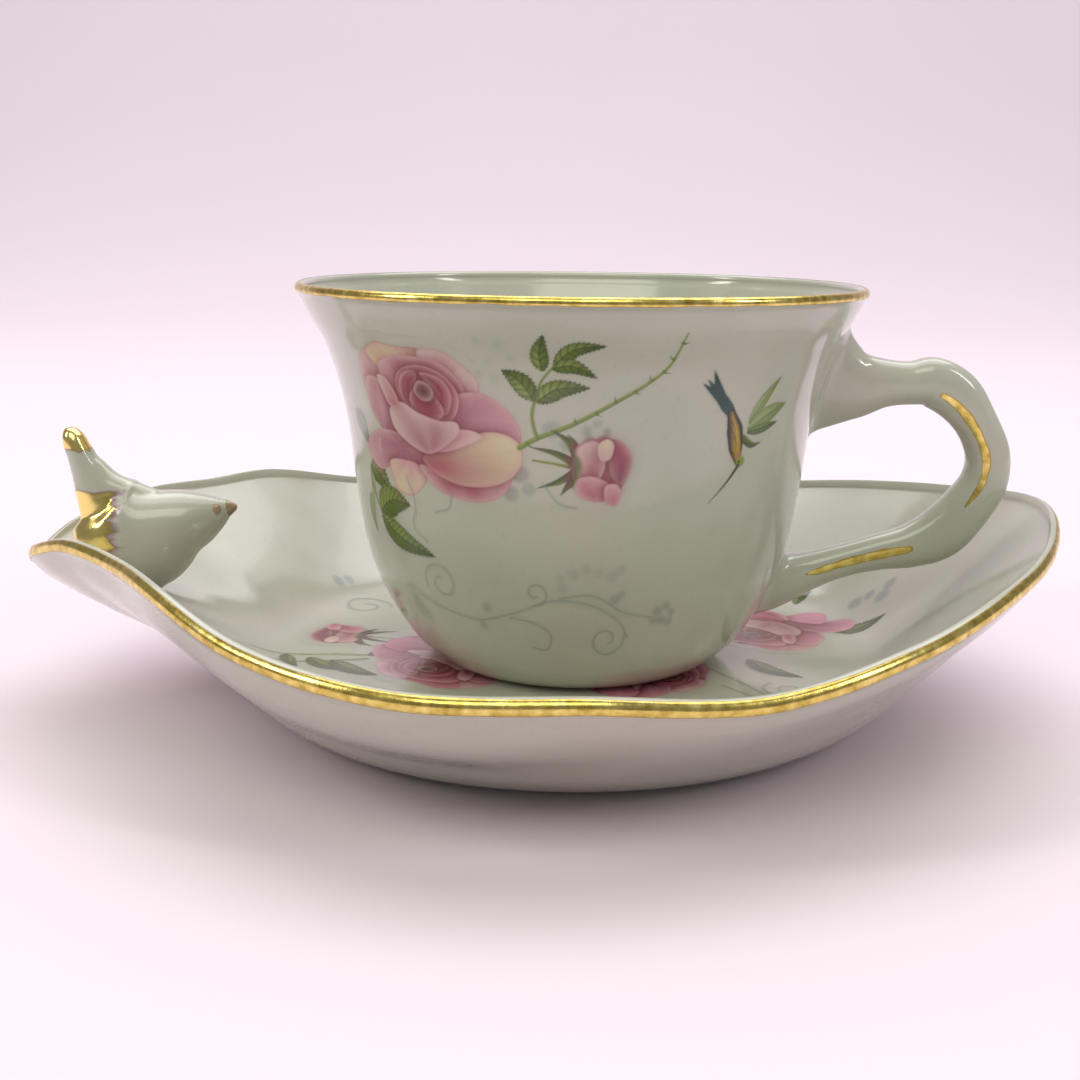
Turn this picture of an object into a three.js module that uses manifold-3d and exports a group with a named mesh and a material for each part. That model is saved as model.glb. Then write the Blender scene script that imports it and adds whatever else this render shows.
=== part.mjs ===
// Teacup and matching saucer in glazed porcelain, with gilded rims and a bird on the saucer's lip.
// Millimetres, +Z up. Everything is laid out about the cup's own axis, with +X towards the handle,
// and the finished group is shifted so that the middle of the set's box is the origin.
import * as THREE from 'three';
import { mergeVertices } from 'three/addons/utils/BufferGeometryUtils.js';
import Module from 'manifold-3d';

const wasm = await Module();
wasm.setup();

// ---- driving dimensions ---------------------------------------------------------------------

const GAP = 0.3;              // clearance between a piece and the neighbour that it is joined to
const TOUCH = 0.1;            // clearance under a piece that only rests, and under the gilding
const GILDING = 0.3;          // thickness of the gilding

const SAUCER_WELL_Z = 8;      // top of the flat well that the cup stands in
const SAUCER_WALL = 3.4;      // thickness of the dish, measured straight down
const SAUCER_TAPER = 0.6;     // how much thinner the dish is at its edge
const SAUCER_BEND_R = 53;     // where the flat well turns up into the sloping wall
const SAUCER_BEND = 4;        // softness of that turn
const SAUCER_FOOT_R = 46;     // outside radius of the foot where it stands
const SAUCER_FOOT_WIDTH = 3.4;
const SAUCER_FOOT_FLARE = [[46, 0.4], [50, 2.2], [53, 4.2], [55.5, 6.3]];
const SAUCER_GOLD = 0.7;      // how far the gilding reaches below the rounded edge

// Round the saucer from the handle side (0 degrees) to the lip (180), [angle, distance] pairs:
// how far the foot reaches out of round, and how far the underside swells below the wall.
const SAUCER_FOOT_REACH = [[0, -0.5], [50, -0.5], [90, 0], [130, 1.6], [180, 2.4]];
const SAUCER_SWELL = [[0, 0], [80, 0.4], [105, 1.8], [125, 2.7], [150, 3.1], [168, 2.6], [180, 1.5]];

// The saucer's edge, from the handle side (0 degrees) round to the lip under the bird (180):
// [angle, distance from the cup's axis, height]. The other half mirrors it.
const SAUCER_EDGE = [
  [0, 81.5, 36], [18, 78.8, 33.6], [36, 75.8, 30.9], [54, 75, 27.5], [72, 75, 24.3],
  [90, 76, 25.4], [108, 78.4, 25.4], [126, 77.5, 27], [144, 77.8, 31.6], [156, 79.4, 32],
  [166, 85.6, 31.8], [174, 92.6, 28.3], [180, 95, 25.3],
];

const CUP_Z = SAUCER_WELL_Z + TOUCH;
const CUP_FOOT_HEIGHT = 1.8;
const CUP_FOOT_R = 22.6;      // outside radius of the foot ring where it stands
const CUP_FOOT_WIDTH = 3;
const CUP_WALL = 2.3;
const CUP_RIM_Z = 72.2;
const CUP_GOLD = 1.1;        // how far down the outside the gilding reaches
const CUP_LOBE = 0.55;        // depth of the four soft lobes at the rim
const CUP_FLOOR = 2.8;        // thickness of the bottom

// Outside of the cup's wall from the foot ring up to the rim: [radius, height].
const CUP_OUTSIDE = [
  [25.9, 10.2], [28.7, 13], [32.3, 18.6], [35.1, 25], [36.8, 31.5], [38.1, 40], [39.2, 49],
  [40.8, 56.5], [43, 62.7], [45.4, 67], [47.9, CUP_RIM_Z],
];

// Stations along the handle, from inside the wall at the top round to the wall at the bottom:
// [distance from the axis, height, half thickness in the handle's plane, half thickness across].
const HANDLE = [
  [39.5, 57.6, 11.5, 5.4], [43, 56.4, 9, 4.7], [47.5, 55.6, 6, 3.9], [52, 55.8, 4.2, 3.4],
  [56.5, 55.9, 3.7, 3.3], [60.4, 56, 4.3, 3.5], [64.6, 53.7, 4.3, 3.5], [68.2, 49.2, 3.6, 3.4],
  [70.6, 44, 3.7, 3.4], [70.4, 39, 4, 3.4], [67.8, 34.5, 4.3, 3.5], [63.6, 29.9, 4.6, 3.6],
  [58.6, 27.5, 3.9, 3.4], [53, 26.3, 3.2, 3.1], [47.2, 24.8, 2.9, 3], [41.5, 23, 3.3, 3.4],
  [36.6, 21.4, 4.2, 4.3], [32.6, 20.2, 4.8, 4.8], [28.8, 19.4, 4.2, 4.4],
];

// Stations along the bird's body, from its rump to the base of the beak, and along its tail.
const BIRD = [
  [-85.4, 31.4, 2.1, 1.7], [-84.5, 30.5, 5.3, 4.1], [-82.2, 28.8, 8.7, 6.1], [-78.5, 27.3, 10.5, 7],
  [-74, 27.8, 9, 6.8], [-69, 30, 6.3, 6], [-65.4, 31.2, 4.7, 4.6], [-62.5, 32.2, 2.9, 2.9],
  [-61, 32.7, 1.6, 1.6],
];
const TAIL = [
  [-81.6, 32.4, 5, 4.2], [-83.2, 35.9, 3.9, 3.7], [-84.8, 39.5, 2.8, 3], [-86, 42.5, 2.2, 2.5],
  [-86.9, 44.8, 1.9, 2.1], [-87.4, 46.2, 1.2, 1.3],
];
const BEAK = [[-60.6, 32.8, 1.4, 1.4], [-60, 32.9, 1, 1], [-59.3, 33, 0.5, 0.5]];
const EYE_AT = 0.87;          // place of the eyes along the body
const EYE_R = 0.75;

const SAUCER_STEPS = 72;      // facets round the saucer
const CUP_STEPS = 48;         // facets round the cup

// ---- materials ------------------------------------------------------------------------------

const porcelain = new THREE.MeshStandardMaterial({ color: 0xf1efe6, roughness: 0.12, metalness: 0 });
const gold = new THREE.MeshStandardMaterial({ color: 0xc99a3a, roughness: 0.22, metalness: 1 });
const brown = new THREE.MeshStandardMaterial({ color: 0x8a5a30, roughness: 0.3, metalness: 0 });

// ---- making solids --------------------------------------------------------------------------

// A closed solid from points and triangles, turned so that its faces point out.
function solid(points, triangles) {
  const geometry = new THREE.BufferGeometry().setFromPoints(points);
  let volume = 0;
  for (let i = 0; i < triangles.length; i += 3) {
    const [a, b, c] = [0, 1, 2].map((k) => points[triangles[i + k]]);
    volume += a.dot(new THREE.Vector3().crossVectors(b, c));
  }
  geometry.setIndex(volume > 0 ? triangles : triangles.toReversed());
  geometry.computeVertexNormals();
  return geometry;
}

// Skins rows of points, each row a closed loop. The last row joins the first when looped is true;
// otherwise the two end rows are closed by fans.
function skin(rows, looped = false) {
  const around = rows[0].length;
  const points = rows.flat();
  const triangles = [];
  const at = (row, column) => (row % rows.length) * around + (column % around);
  for (let row = 0; row < rows.length - (looped ? 0 : 1); row++) {
    for (let column = 0; column < around; column++) {
      const [a, b] = [at(row, column), at(row, column + 1)];
      const [c, d] = [at(row + 1, column + 1), at(row + 1, column)];
      triangles.push(a, b, c, a, c, d);
    }
  }
  if (!looped) {
    closeEnd(rows[0], 0, true, points, triangles);
    closeEnd(rows.at(-1), (rows.length - 1) * around, false, points, triangles);
  }
  return solid(points, triangles);
}

function closeEnd(row, first, start, points, triangles) {
  const centre = new THREE.Vector3();
  row.forEach((point) => centre.addScaledVector(point, 1 / row.length));
  const middle = points.push(centre) - 1;
  for (let column = 0; column < row.length; column++) {
    const [a, b] = [first + column, first + (column + 1) % row.length];
    triangles.push(middle, start ? b : a, start ? a : b);
  }
}

// A thin closed plate over part of a surface. at(u, v, lift) gives the surface point at u and v
// from 0 to 1, raised by lift. Its rows run round the plate's own cross-section.
function plate(at, long, wide) {
  const rows = [];
  for (let i = 0; i <= long; i++) {
    const under = Array.from({ length: wide + 1 }, (_, j) => at(i / long, j / wide, TOUCH));
    const over = Array.from({ length: wide + 1 }, (_, j) => at(i / long, j / wide, TOUCH + GILDING));
    rows.push([...under, ...over.reverse()]);
  }
  return skin(rows);
}

function toManifold(geometry) {
  const bare = geometry.clone();
  bare.deleteAttribute('normal');
  const merged = mergeVertices(bare, 1e-5);
  return new wasm.Manifold(new wasm.Mesh({
    numProp: 3,
    vertProperties: new Float32Array(merged.attributes.position.array),
    triVerts: new Uint32Array(merged.index.array),
  }));
}

function fromManifold(manifold) {
  const { vertProperties, triVerts } = manifold.getMesh();
  const geometry = new THREE.BufferGeometry();
  geometry.setAttribute('position', new THREE.BufferAttribute(vertProperties, 3));
  geometry.setIndex(new THREE.BufferAttribute(triVerts, 1));
  geometry.computeVertexNormals();
  return geometry;
}

const without = (geometry, cutter) => fromManifold(toManifold(geometry).subtract(toManifold(cutter)));
const joined = (one, other) => fromManifold(toManifold(one).add(toManifold(other)));

// ---- curves ---------------------------------------------------------------------------------

const turns = (count) => Array.from({ length: count }, (_, i) => (2 * Math.PI * i) / count);
const polar = (r, angle, z) => new THREE.Vector3(r * Math.cos(angle), r * Math.sin(angle), z);

// A smooth value through [position, value] pairs.
function smooth(pairs, x) {
  const last = pairs.length - 1;
  const i = Math.min(Math.max(pairs.findIndex((pair) => pair[0] >= x) - 1, 0), last - 1);
  const slope = (k) => {
    const [a, b] = [pairs[Math.max(k - 1, 0)], pairs[Math.min(k + 1, last)]];
    return (b[1] - a[1]) / (b[0] - a[0]);
  };
  const span = pairs[i + 1][0] - pairs[i][0];
  const t = (x - pairs[i][0]) / span;
  const rise = pairs[i + 1][1] - pairs[i][1];
  const bend = (1 - t) * (slope(i) * span - rise) - t * (slope(i + 1) * span - rise);
  return pairs[i][1] + t * rise + t * (1 - t) * bend;
}

// A line of points in the (radius, height) plane, moved sideways to its left by distance.
function offset(line, distance) {
  return line.map((point, i) => {
    const ahead = line[Math.min(i + 1, line.length - 1)];
    const behind = line[Math.max(i - 1, 0)];
    const along = new THREE.Vector2(ahead[0] - behind[0], ahead[1] - behind[1]).normalize();
    return [point[0] - along.y * distance, point[1] + along.x * distance];
  });
}

// A limb is a curved body of oval section in the plane y = 0, through stations
// [x, z, half thickness in the plane, half thickness across].
class Limb {
  constructor(stations) {
    this.middle = new THREE.CatmullRomCurve3(stations.map(([x, z]) => new THREE.Vector3(x, 0, z)));
    this.size = new THREE.CatmullRomCurve3(stations.map(([, , a, b]) => new THREE.Vector3(a, b, 0)));
    this.middle.curveType = this.size.curveType = 'catmullrom';
  }

  // The surface at t along the limb, raised by lift. Angle 0 is the left of the direction of
  // travel, and a quarter turn is the side that faces -Y.
  at(t, angle, lift = 0) {
    const along = this.middle.getTangent(t);
    const aside = new THREE.Vector3(-along.z, 0, along.x);
    const { x: inPlane, y: across } = this.size.getPoint(t);
    return this.middle.getPoint(t)
      .addScaledVector(aside, (inPlane + lift) * Math.cos(angle))
      .add(new THREE.Vector3(0, -(across + lift) * Math.sin(angle), 0));
  }

  solid(long, around, lift = 0) {
    const row = (t) => turns(around).map((angle) => this.at(t, angle, lift));
    return skin(Array.from({ length: long + 1 }, (_, i) => row(i / long)));
  }
}

const handle = new Limb(HANDLE);
const bird = new Limb(BIRD);
const tail = new Limb(TAIL);

// ---- the saucer -----------------------------------------------------------------------------

// Degrees round the saucer from the handle side, the same on both halves.
function halfTurn(angle) {
  const degrees = THREE.MathUtils.radToDeg(angle);
  return degrees > 180 ? 360 - degrees : degrees;
}

function saucerEdge(angle) {
  const half = halfTurn(angle);
  const [last, first] = [SAUCER_EDGE.at(-2), SAUCER_EDGE[1]];
  const all = [[-first[0], first[1], first[2]], ...SAUCER_EDGE, [360 - last[0], last[1], last[2]]];
  const value = (column) => smooth(all.map((row) => [row[0], row[column]]), half);
  return { r: value(1), z: value(2) };
}

// Height of the dish's upper surface at a distance from the axis.
function dishHeight(r, angle) {
  const edge = saucerEdge(angle);
  const rise = (at) => (at - SAUCER_BEND_R + Math.hypot(at - SAUCER_BEND_R, SAUCER_BEND)) / 2;
  const flat = rise(0);
  return SAUCER_WELL_Z + (edge.z - SAUCER_WELL_Z) * (rise(r) - flat) / (rise(edge.r) - flat);
}

// Upper surface of the dish from the middle to just inside the edge.
function dishTop(angle, lift = 0) {
  const reach = saucerEdge(angle).r - SAUCER_BEND_R;
  const wall = [0.1, 0.3, 0.55, 0.8, 0.94].map((part) => SAUCER_BEND_R + part * reach);
  const radii = [12, 36, SAUCER_FOOT_R, SAUCER_BEND_R - 2, ...wall];
  return radii.map((r) => [r, dishHeight(r, angle) + lift]);
}

// The rounded edge, from its inner shoulder over the top to its outer shoulder.
function dishEdge(angle) {
  const { r, z } = saucerEdge(angle);
  const half = (SAUCER_WALL - SAUCER_TAPER) / 2;
  return [150, 90, 30, -30].map((degrees) => {
    const turn = THREE.MathUtils.degToRad(degrees - 20);
    return [r - half + half * Math.cos(turn), z - half + half * Math.sin(turn)];
  });
}

// Height of the dish's underside. It swells most two thirds of the way up the wall.
function underHeight(r, angle) {
  const part = Math.max(r - SAUCER_BEND_R, 0) / (saucerEdge(angle).r - SAUCER_BEND_R);
  const swell = smooth(SAUCER_SWELL, halfTurn(angle)) * (27 / 4) * part ** 2 * (1 - part);
  return dishHeight(r, angle) - SAUCER_WALL + SAUCER_TAPER * part - swell;
}

// Underside of the dish, from the edge in to the middle.
function dishUnder(angle) {
  return dishTop(angle).reverse().map(([r]) => [r, underHeight(r, angle)]);
}

function saucerDish() {
  const rows = turns(SAUCER_STEPS).map((angle) => {
    const line = [...dishTop(angle), ...dishEdge(angle), ...dishUnder(angle)];
    return line.map(([r, z]) => polar(r, angle, z));
  });
  return skin(columnsOf(rows));
}

// Swaps rows and columns, so that each loop runs round the axis.
const columnsOf = (rows) => rows[0].map((_, column) => rows.map((row) => row[column]));

// Everything below the dish's upper surface, raised by the gap: it cuts what stands on the dish.
function dishCutter() {
  const rows = turns(SAUCER_STEPS).map((angle) => {
    const top = dishTop(angle, GAP);
    return [...top, [top.at(-1)[0], -SAUCER_WALL], [top[0][0], -SAUCER_WALL]].map(([r, z]) => polar(r, angle, z));
  });
  return skin(columnsOf(rows));
}

function saucerFootRing() {
  const inside = SAUCER_FOOT_R - SAUCER_FOOT_WIDTH;
  const rows = turns(SAUCER_STEPS).map((angle) => {
    const reach = smooth(SAUCER_FOOT_REACH, halfTurn(angle));
    const flare = [[SAUCER_FOOT_R - 0.6, 0], ...SAUCER_FOOT_FLARE].map(([r, z]) => [r + reach, z]);
    const radii = [SAUCER_FOOT_R + 10.5 + reach, SAUCER_BEND_R + 1.5, SAUCER_BEND_R - 2, inside];
    const top = radii.map((r) => [r, underHeight(r, angle) - GAP]);
    const loop = [[inside + 0.5, 0], ...flare, ...top];
    return loop.map(([r, z]) => polar(r, angle, z));
  });
  return skin(rows, true);
}

// A gilded band over an edge: shoulder(angle) is the edge's outline, from inside to outside.
function gildedBand(steps, shoulder, place) {
  const rows = turns(steps).map((angle) => {
    const line = shoulder(angle);
    const loop = [...offset(line, TOUCH), ...offset(line, TOUCH + GILDING).reverse()];
    return loop.map(([r, z]) => place(r, angle, z));
  });
  return skin(rows, true);
}

function saucerRimGilding() {
  const shoulder = (angle) => {
    const edge = dishEdge(angle).slice(1);
    const [low, under] = [edge.at(-1), dishUnder(angle)[0]];
    const part = SAUCER_GOLD / Math.hypot(under[0] - low[0], under[1] - low[1]);
    return [...edge, [low[0] + part * (under[0] - low[0]), low[1] + part * (under[1] - low[1])]];
  };
  return gildedBand(SAUCER_STEPS, shoulder, polar);
}

// ---- the cup --------------------------------------------------------------------------------

// Places a point of the cup's round section, pushed out or in by the four soft lobes.
function onCup(r, angle, z) {
  const height = Math.max((z - CUP_Z) / (CUP_RIM_Z - CUP_Z), 0);
  const lobe = -CUP_LOBE * height ** 2 * Math.cos(4 * angle);
  return polar(r + lobe, angle, z);
}

function cupOutside(outward = 0) {
  const pairs = CUP_OUTSIDE.map(([r, z]) => [z, r]);
  const heights = [10.2, 12, 15, 19.5, 26, 36, 47, 55, 61, 66, CUP_RIM_Z - CUP_GOLD];
  return heights.map((z) => [smooth(pairs, z) + outward, z]);
}

// The rounded lip of the cup, from outside to inside.
function cupLip() {
  return [[47.75, 71.7], [47.5, CUP_RIM_Z], [46.8, CUP_RIM_Z], [46.45, 71.7]];
}

function cupInside() {
  const floor = CUP_Z + CUP_FOOT_HEIGHT + GAP + CUP_FLOOR;
  const wall = cupOutside(-CUP_WALL).filter(([, z]) => z > floor + 1).reverse();
  return [...wall, [23.5, floor + 0.4], [18, floor], [8, floor]];
}

function cupBowl() {
  const bottom = CUP_Z + CUP_FOOT_HEIGHT + GAP;
  const line = [[10, bottom], ...cupOutside(), ...cupLip(), ...cupInside()];
  return skin(line.map(([r, z]) => turns(CUP_STEPS).map((angle) => onCup(r, angle, z))));
}

// The cup's outer form as a full body, widened by the gap: it cuts what joins the wall.
function cupCutter() {
  const line = [[10, CUP_Z], [CUP_FOOT_R, CUP_Z], ...cupOutside(GAP), [47.9 + GAP, CUP_RIM_Z], [10, CUP_RIM_Z]];
  return skin(line.map(([r, z]) => turns(CUP_STEPS).map((angle) => onCup(r, angle, z))));
}

function cupFootRing() {
  const top = CUP_Z + CUP_FOOT_HEIGHT;
  const inside = CUP_FOOT_R - CUP_FOOT_WIDTH;
  const loop = [
    [inside, CUP_Z], [CUP_FOOT_R - 0.4, CUP_Z], [CUP_FOOT_R + 1.4, CUP_Z + 0.6], [25.5, top], [inside - 0.6, top],
  ];
  return skin(turns(CUP_STEPS).map((angle) => loop.map(([r, z]) => polar(r, angle, z))), true);
}

function cupRimGilding() {
  const shoulder = () => [...cupLip().reverse().slice(1), cupOutside().at(-1)];
  return gildedBand(CUP_STEPS, shoulder, onCup);
}

const cupHandle = () => without(handle.solid(46, 14), cupCutter());

// A brush stroke of gold along a limb from t0 to t1, pointed at both ends. Side 1 faces -Y.
function goldStroke(t0, t1, turn, width, side) {
  const at = (u, v, lift) => {
    const spread = width * (0.12 + 0.88 * Math.sqrt(Math.sin(Math.PI * u)));
    const angle = Math.PI / 2 + turn + spread * (v - 0.5);
    return handle.at(t0 + (t1 - t0) * u, side * angle, lift);
  };
  return plate(at, 16, 2);
}

// ---- the bird -------------------------------------------------------------------------------

const birdFigure = () => without(joined(bird.solid(22, 16), tail.solid(10, 12)), dishCutter());

// The gilded patch on one side of the bird's rump. Side 1 faces -Y.
function rumpGilding(side) {
  const at = (u, v, lift) => bird.at(0.18 + 0.17 * u, side * Math.PI * (0.29 + 0.27 * v), lift + GAP);
  return plate(at, 5, 6);
}

// A thimble of gold over the tip of the tail.
function tailTipGilding() {
  const loop = (t, lift) => turns(12).map((angle) => tail.at(t, angle, lift));
  const raised = (loops, along) => loops.map((point) => point.addScaledVector(tail.middle.getTangent(1), along));
  const outer = [0.68, 0.8, 0.92].map((t) => loop(t, TOUCH + GILDING));
  const inner = [0.68, 0.8, 0.92].map((t) => loop(t, TOUCH));
  const outerCap = raised(loop(1, TOUCH + GILDING), TOUCH + GILDING);
  const innerCap = raised(loop(1, TOUCH), TOUCH);
  return skin([innerCap, ...inner.reverse(), ...outer, outerCap]);
}

// A round bead of an eye, set just clear of the head. Side 1 faces -Y.
function birdEye(side) {
  const centre = bird.at(EYE_AT, side * 1.25, TOUCH);
  const out = bird.at(EYE_AT, side * 1.25, 1 + TOUCH).sub(centre).normalize();
  const turn = new THREE.Quaternion().setFromUnitVectors(new THREE.Vector3(0, 0, 1), out);
  const ring = (r, height) => turns(10).map((angle) => polar(r, angle, height).applyQuaternion(turn).add(centre));
  return skin([ring(EYE_R, 0.25), ring(EYE_R, 0.4), ring(EYE_R * 0.5, 0.6)]);
}

// ---- the set --------------------------------------------------------------------------------

const set = new THREE.Group();

function add(name, geometry, material) {
  const mesh = new THREE.Mesh(geometry, material.clone());
  mesh.name = name;
  set.add(mesh);
}

add('saucer_dish', saucerDish(), porcelain);
add('saucer_foot_ring', saucerFootRing(), porcelain);
add('saucer_rim_gilding', saucerRimGilding(), gold);
add('cup_bowl', cupBowl(), porcelain);
add('cup_foot_ring', cupFootRing(), porcelain);
add('cup_handle', cupHandle(), porcelain);
add('cup_rim_gilding', cupRimGilding(), gold);
for (const [name, side] of [['front', 1], ['back', -1]]) {
  add(`handle_gilding_upper_${name}`, goldStroke(0.29, 0.55, 0.35, 0.45, side), gold);
  add(`handle_gilding_lower_${name}`, goldStroke(0.69, 0.85, -0.15, 0.5, side), gold);
  add(`bird_rump_gilding_${name}`, rumpGilding(side), gold);
  add(`bird_eye_${name}`, birdEye(side), brown);
}
add('bird_figure', birdFigure(), porcelain);
add('bird_tail_tip_gilding', tailTipGilding(), gold);
add('bird_beak', new Limb(BEAK).solid(3, 10), brown);

const box = new THREE.Box3().setFromObject(set, true);
set.position.x = -(box.min.x + box.max.x) / 2;
set.position.z = -box.min.z;

export default set;
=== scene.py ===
# Porcelain teacup and saucer: glazed meshes, gilding, painted flowers, stage, light and camera.
import math

import bmesh
import bpy
import numpy as np
from mathutils import Matrix, Vector


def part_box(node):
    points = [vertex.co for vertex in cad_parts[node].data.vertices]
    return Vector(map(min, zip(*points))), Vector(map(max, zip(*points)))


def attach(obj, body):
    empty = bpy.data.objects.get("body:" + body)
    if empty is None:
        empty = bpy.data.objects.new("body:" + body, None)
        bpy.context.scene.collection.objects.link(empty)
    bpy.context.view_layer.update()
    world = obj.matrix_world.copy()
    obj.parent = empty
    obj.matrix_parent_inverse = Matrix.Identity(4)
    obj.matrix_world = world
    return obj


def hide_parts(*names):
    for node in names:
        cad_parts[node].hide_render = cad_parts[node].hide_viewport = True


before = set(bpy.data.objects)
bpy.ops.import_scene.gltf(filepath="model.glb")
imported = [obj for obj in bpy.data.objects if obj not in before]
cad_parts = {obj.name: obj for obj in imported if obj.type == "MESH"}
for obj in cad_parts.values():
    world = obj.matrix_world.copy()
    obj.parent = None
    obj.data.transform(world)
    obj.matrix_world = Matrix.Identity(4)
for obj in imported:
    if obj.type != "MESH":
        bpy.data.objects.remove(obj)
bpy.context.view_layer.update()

# ---- sizes, in millimetres ----
# They repeat the driving dimensions of the CAD model, about the cup's own axis.

MM = 0.001


def node_box(node):
    """Lowest and highest corner of a CAD node, in millimetres."""
    return [np.array(corner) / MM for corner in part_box(node)]


AXIS_X = float(np.mean([corner[0] for corner in node_box("cup_foot_ring")]))
CUP_Z = float(node_box("cup_foot_ring")[0][2])
CUP_RIM_Z = float(node_box("cup_bowl")[1][2])
CUP_BASE_Z = 10.2  # where the outside wall leaves the foot
CUP_LIP_Z = 71.3  # middle of the round lip
CUP_LOBE = 0.55
CUP_WALL = 2.3
CUP_LIP = 1.5
CUP_THIN_FROM = 40  # the wall thins to the lip from this height
CUP_THIN_OVER = 31
CUP_INSIDE = (17.5, 70.6)  # heights of the inside wall, between floor and lip
PAINT_R = 38  # the cup's radius on which the flowers are laid out
PAINT_LIFT = 0.03
GOLD_LIFT = 0.03
CUP_OUTSIDE = [
    [25.9, CUP_BASE_Z], [28.7, 13], [32.3, 18.6], [35.1, 25], [36.8, 31.5], [38.1, 40],
    [39.2, 49], [40.8, 56.5], [43, 62.7], [45.4, 67], [47.9, CUP_RIM_Z],
]

SAUCER_WELL_Z = 8
SAUCER_WALL = 3.4
SAUCER_TAPER = 0.6
SAUCER_BEND_R = 53
SAUCER_BEND = 4
SAUCER_FOOT_R = 46
SAUCER_FLARE_R = 66
SAUCER_FLARE = [[SAUCER_FOOT_R, 0.4], [50, 2.2], [53, 4.2], [55.5, 6.3], [60, 10.8], [SAUCER_FLARE_R, 18]]
SAUCER_FOOT_BLEND = 1.2  # softness of the bend between the foot's flare and the dish
SAUCER_FOOT_REACH = [[0, -0.5], [50, -0.5], [90, 0], [130, 1.6], [180, 2.4]]
SAUCER_SWELL = [[0, 0], [80, 0.4], [105, 1.8], [125, 2.7], [150, 3.1], [168, 2.6], [180, 1.5]]
SWELL_PEAK = 27 / 4  # brings the swell's curve up to 1 at its peak
SAUCER_EDGE = [
    [0, 81.5, 36], [18, 78.8, 33.6], [36, 75.8, 30.9], [54, 75, 27.5], [72, 75, 24.3],
    [90, 76, 25.4], [108, 78.4, 25.4], [126, 77.5, 27], [144, 77.8, 31.6], [156, 79.4, 32],
    [166, 85.6, 31.8], [174, 92.6, 28.3], [180, 95, 25.3],
]

HANDLE = [
    [39.5, 57.6, 11.5, 5.4], [43, 56.4, 9, 4.7], [47.5, 55.6, 6, 3.9], [52, 55.8, 4.2, 3.4],
    [56.5, 55.9, 3.7, 3.3], [60.4, 56, 4.3, 3.5], [64.6, 53.7, 4.3, 3.5], [68.2, 49.2, 3.6, 3.4],
    [70.6, 44, 3.7, 3.4], [70.4, 39, 4, 3.4], [67.8, 34.5, 4.3, 3.5], [63.6, 29.9, 4.6, 3.6],
    [58.6, 27.5, 3.9, 3.4], [53, 26.3, 3.2, 3.1], [47.2, 24.8, 2.9, 3], [41.5, 23, 3.3, 3.4],
    [36.6, 21.4, 4.2, 4.3], [32.6, 20.2, 4.8, 4.8], [28.8, 19.4, 4.2, 4.4],
]
BIRD = [
    [-85.4, 31.4, 2.1, 1.7], [-84.5, 30.5, 5.3, 4.1], [-82.2, 28.8, 8.7, 6.1], [-78.5, 27.3, 10.5, 7],
    [-74, 27.8, 9, 6.8], [-69, 30, 6.3, 6], [-65.4, 31.2, 4.7, 4.6], [-62.5, 32.2, 2.9, 2.9],
    [-61, 32.7, 1.7, 1.7], [-60, 32.9, 1, 1], [-59.3, 33, 0.4, 0.4],
]
TAIL = [
    [-81.6, 32.4, 5, 4.2], [-83.2, 35.9, 3.9, 3.7], [-84.8, 39.5, 2.8, 3], [-86, 42.5, 2.2, 2.5],
    [-86.9, 44.8, 1.9, 2.1], [-87.4, 46.2, 1.2, 1.3], [-87.5, 46.7, 0.4, 0.4],
]

TAIL_FILLET = [
    [-72.5, 33.2, 2.4, 2.2], [-77.5, 34.6, 2.9, 2.8], [-81.2, 36.6, 2.6, 2.8], [-84, 40.2, 1.9, 2.2],
]
BEAK = [[-60.7, 32.76, 1.5, 1.5], [-60.1, 32.87, 1.12, 1.12], [-59.3, 33, 0.5, 0.5], [-59.1, 33, 0.1, 0.1]]

HANDLE_FILLET = 2.6
HANDLE_ROOT = 0.9  # depth of the handle's ends in the cup's wall
HANDLE_SQUARE = 0.86
BIRD_FILLET = 2.2
BIRD_VOXEL = 0.3
BIRD_SMOOTHING = 14
DISH_SLOPE = 0.85  # turns a height over the dish into a distance from it
# Each stroke of gold: its start and end along the handle, its turn round it and its width, in radians.
HANDLE_STROKES = {"upper": (0.29, 0.56, 0.28, 0.4), "lower": (0.67, 0.85, 0.08, 0.42)}
EYE_AT = 0.72  # place of the eyes along the bird
EYE_TURN = 1.25  # and round it
EYE_R = 0.95
EYE_RISE = 0.4
EYE_SINK = 0.12

CAMERA_AT = (-6.3, -235, 82.4)  # from the cup's axis
CAMERA_DOWN = 13.11  # degrees below the horizon
CAMERA_ROLL = 0.64
CAMERA_LENS = 45.93

# ---- curves and surfaces ----


def clamp(values):
    """Values held between 0 and 1."""
    return np.clip(values, 0, 1)


def unit(vectors):
    """The same directions, with length 1."""
    return vectors / np.linalg.norm(vectors, axis=-1, keepdims=True)


def smooth(pairs, x):
    """A smooth value through (position, value) pairs, at every x."""
    at, value = np.array(pairs, float).T
    x = np.asarray(x, float)
    i = np.clip(np.searchsorted(at, x) - 1, 0, len(at) - 2)
    low, high = np.maximum(np.arange(len(at)) - 1, 0), np.minimum(np.arange(len(at)) + 1, len(at) - 1)
    slope = (value[high] - value[low]) / (at[high] - at[low])
    span, rise = at[i + 1] - at[i], value[i + 1] - value[i]
    t = (x - at[i]) / span
    bend = (1 - t) * (slope[i] * span - rise) - t * (slope[i + 1] * span - rise)
    return value[i] + t * rise + t * (1 - t) * bend


def polar(r, angle, z):
    """Points in millimetres about the cup's axis."""
    r, angle, z = np.broadcast_arrays(r, angle, z)
    return np.stack([r * np.cos(angle), r * np.sin(angle), z], -1)


def to_polar(points):
    """Distance from the cup's axis, and the angle round it."""
    return np.hypot(points[..., 0], points[..., 1]), np.arctan2(points[..., 1], points[..., 0])


def full_turn(count):
    return np.linspace(0, 2 * math.pi, count, endpoint=False)


def cup_radius(z):
    return smooth([(z, r) for r, z in CUP_OUTSIDE], z)


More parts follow.
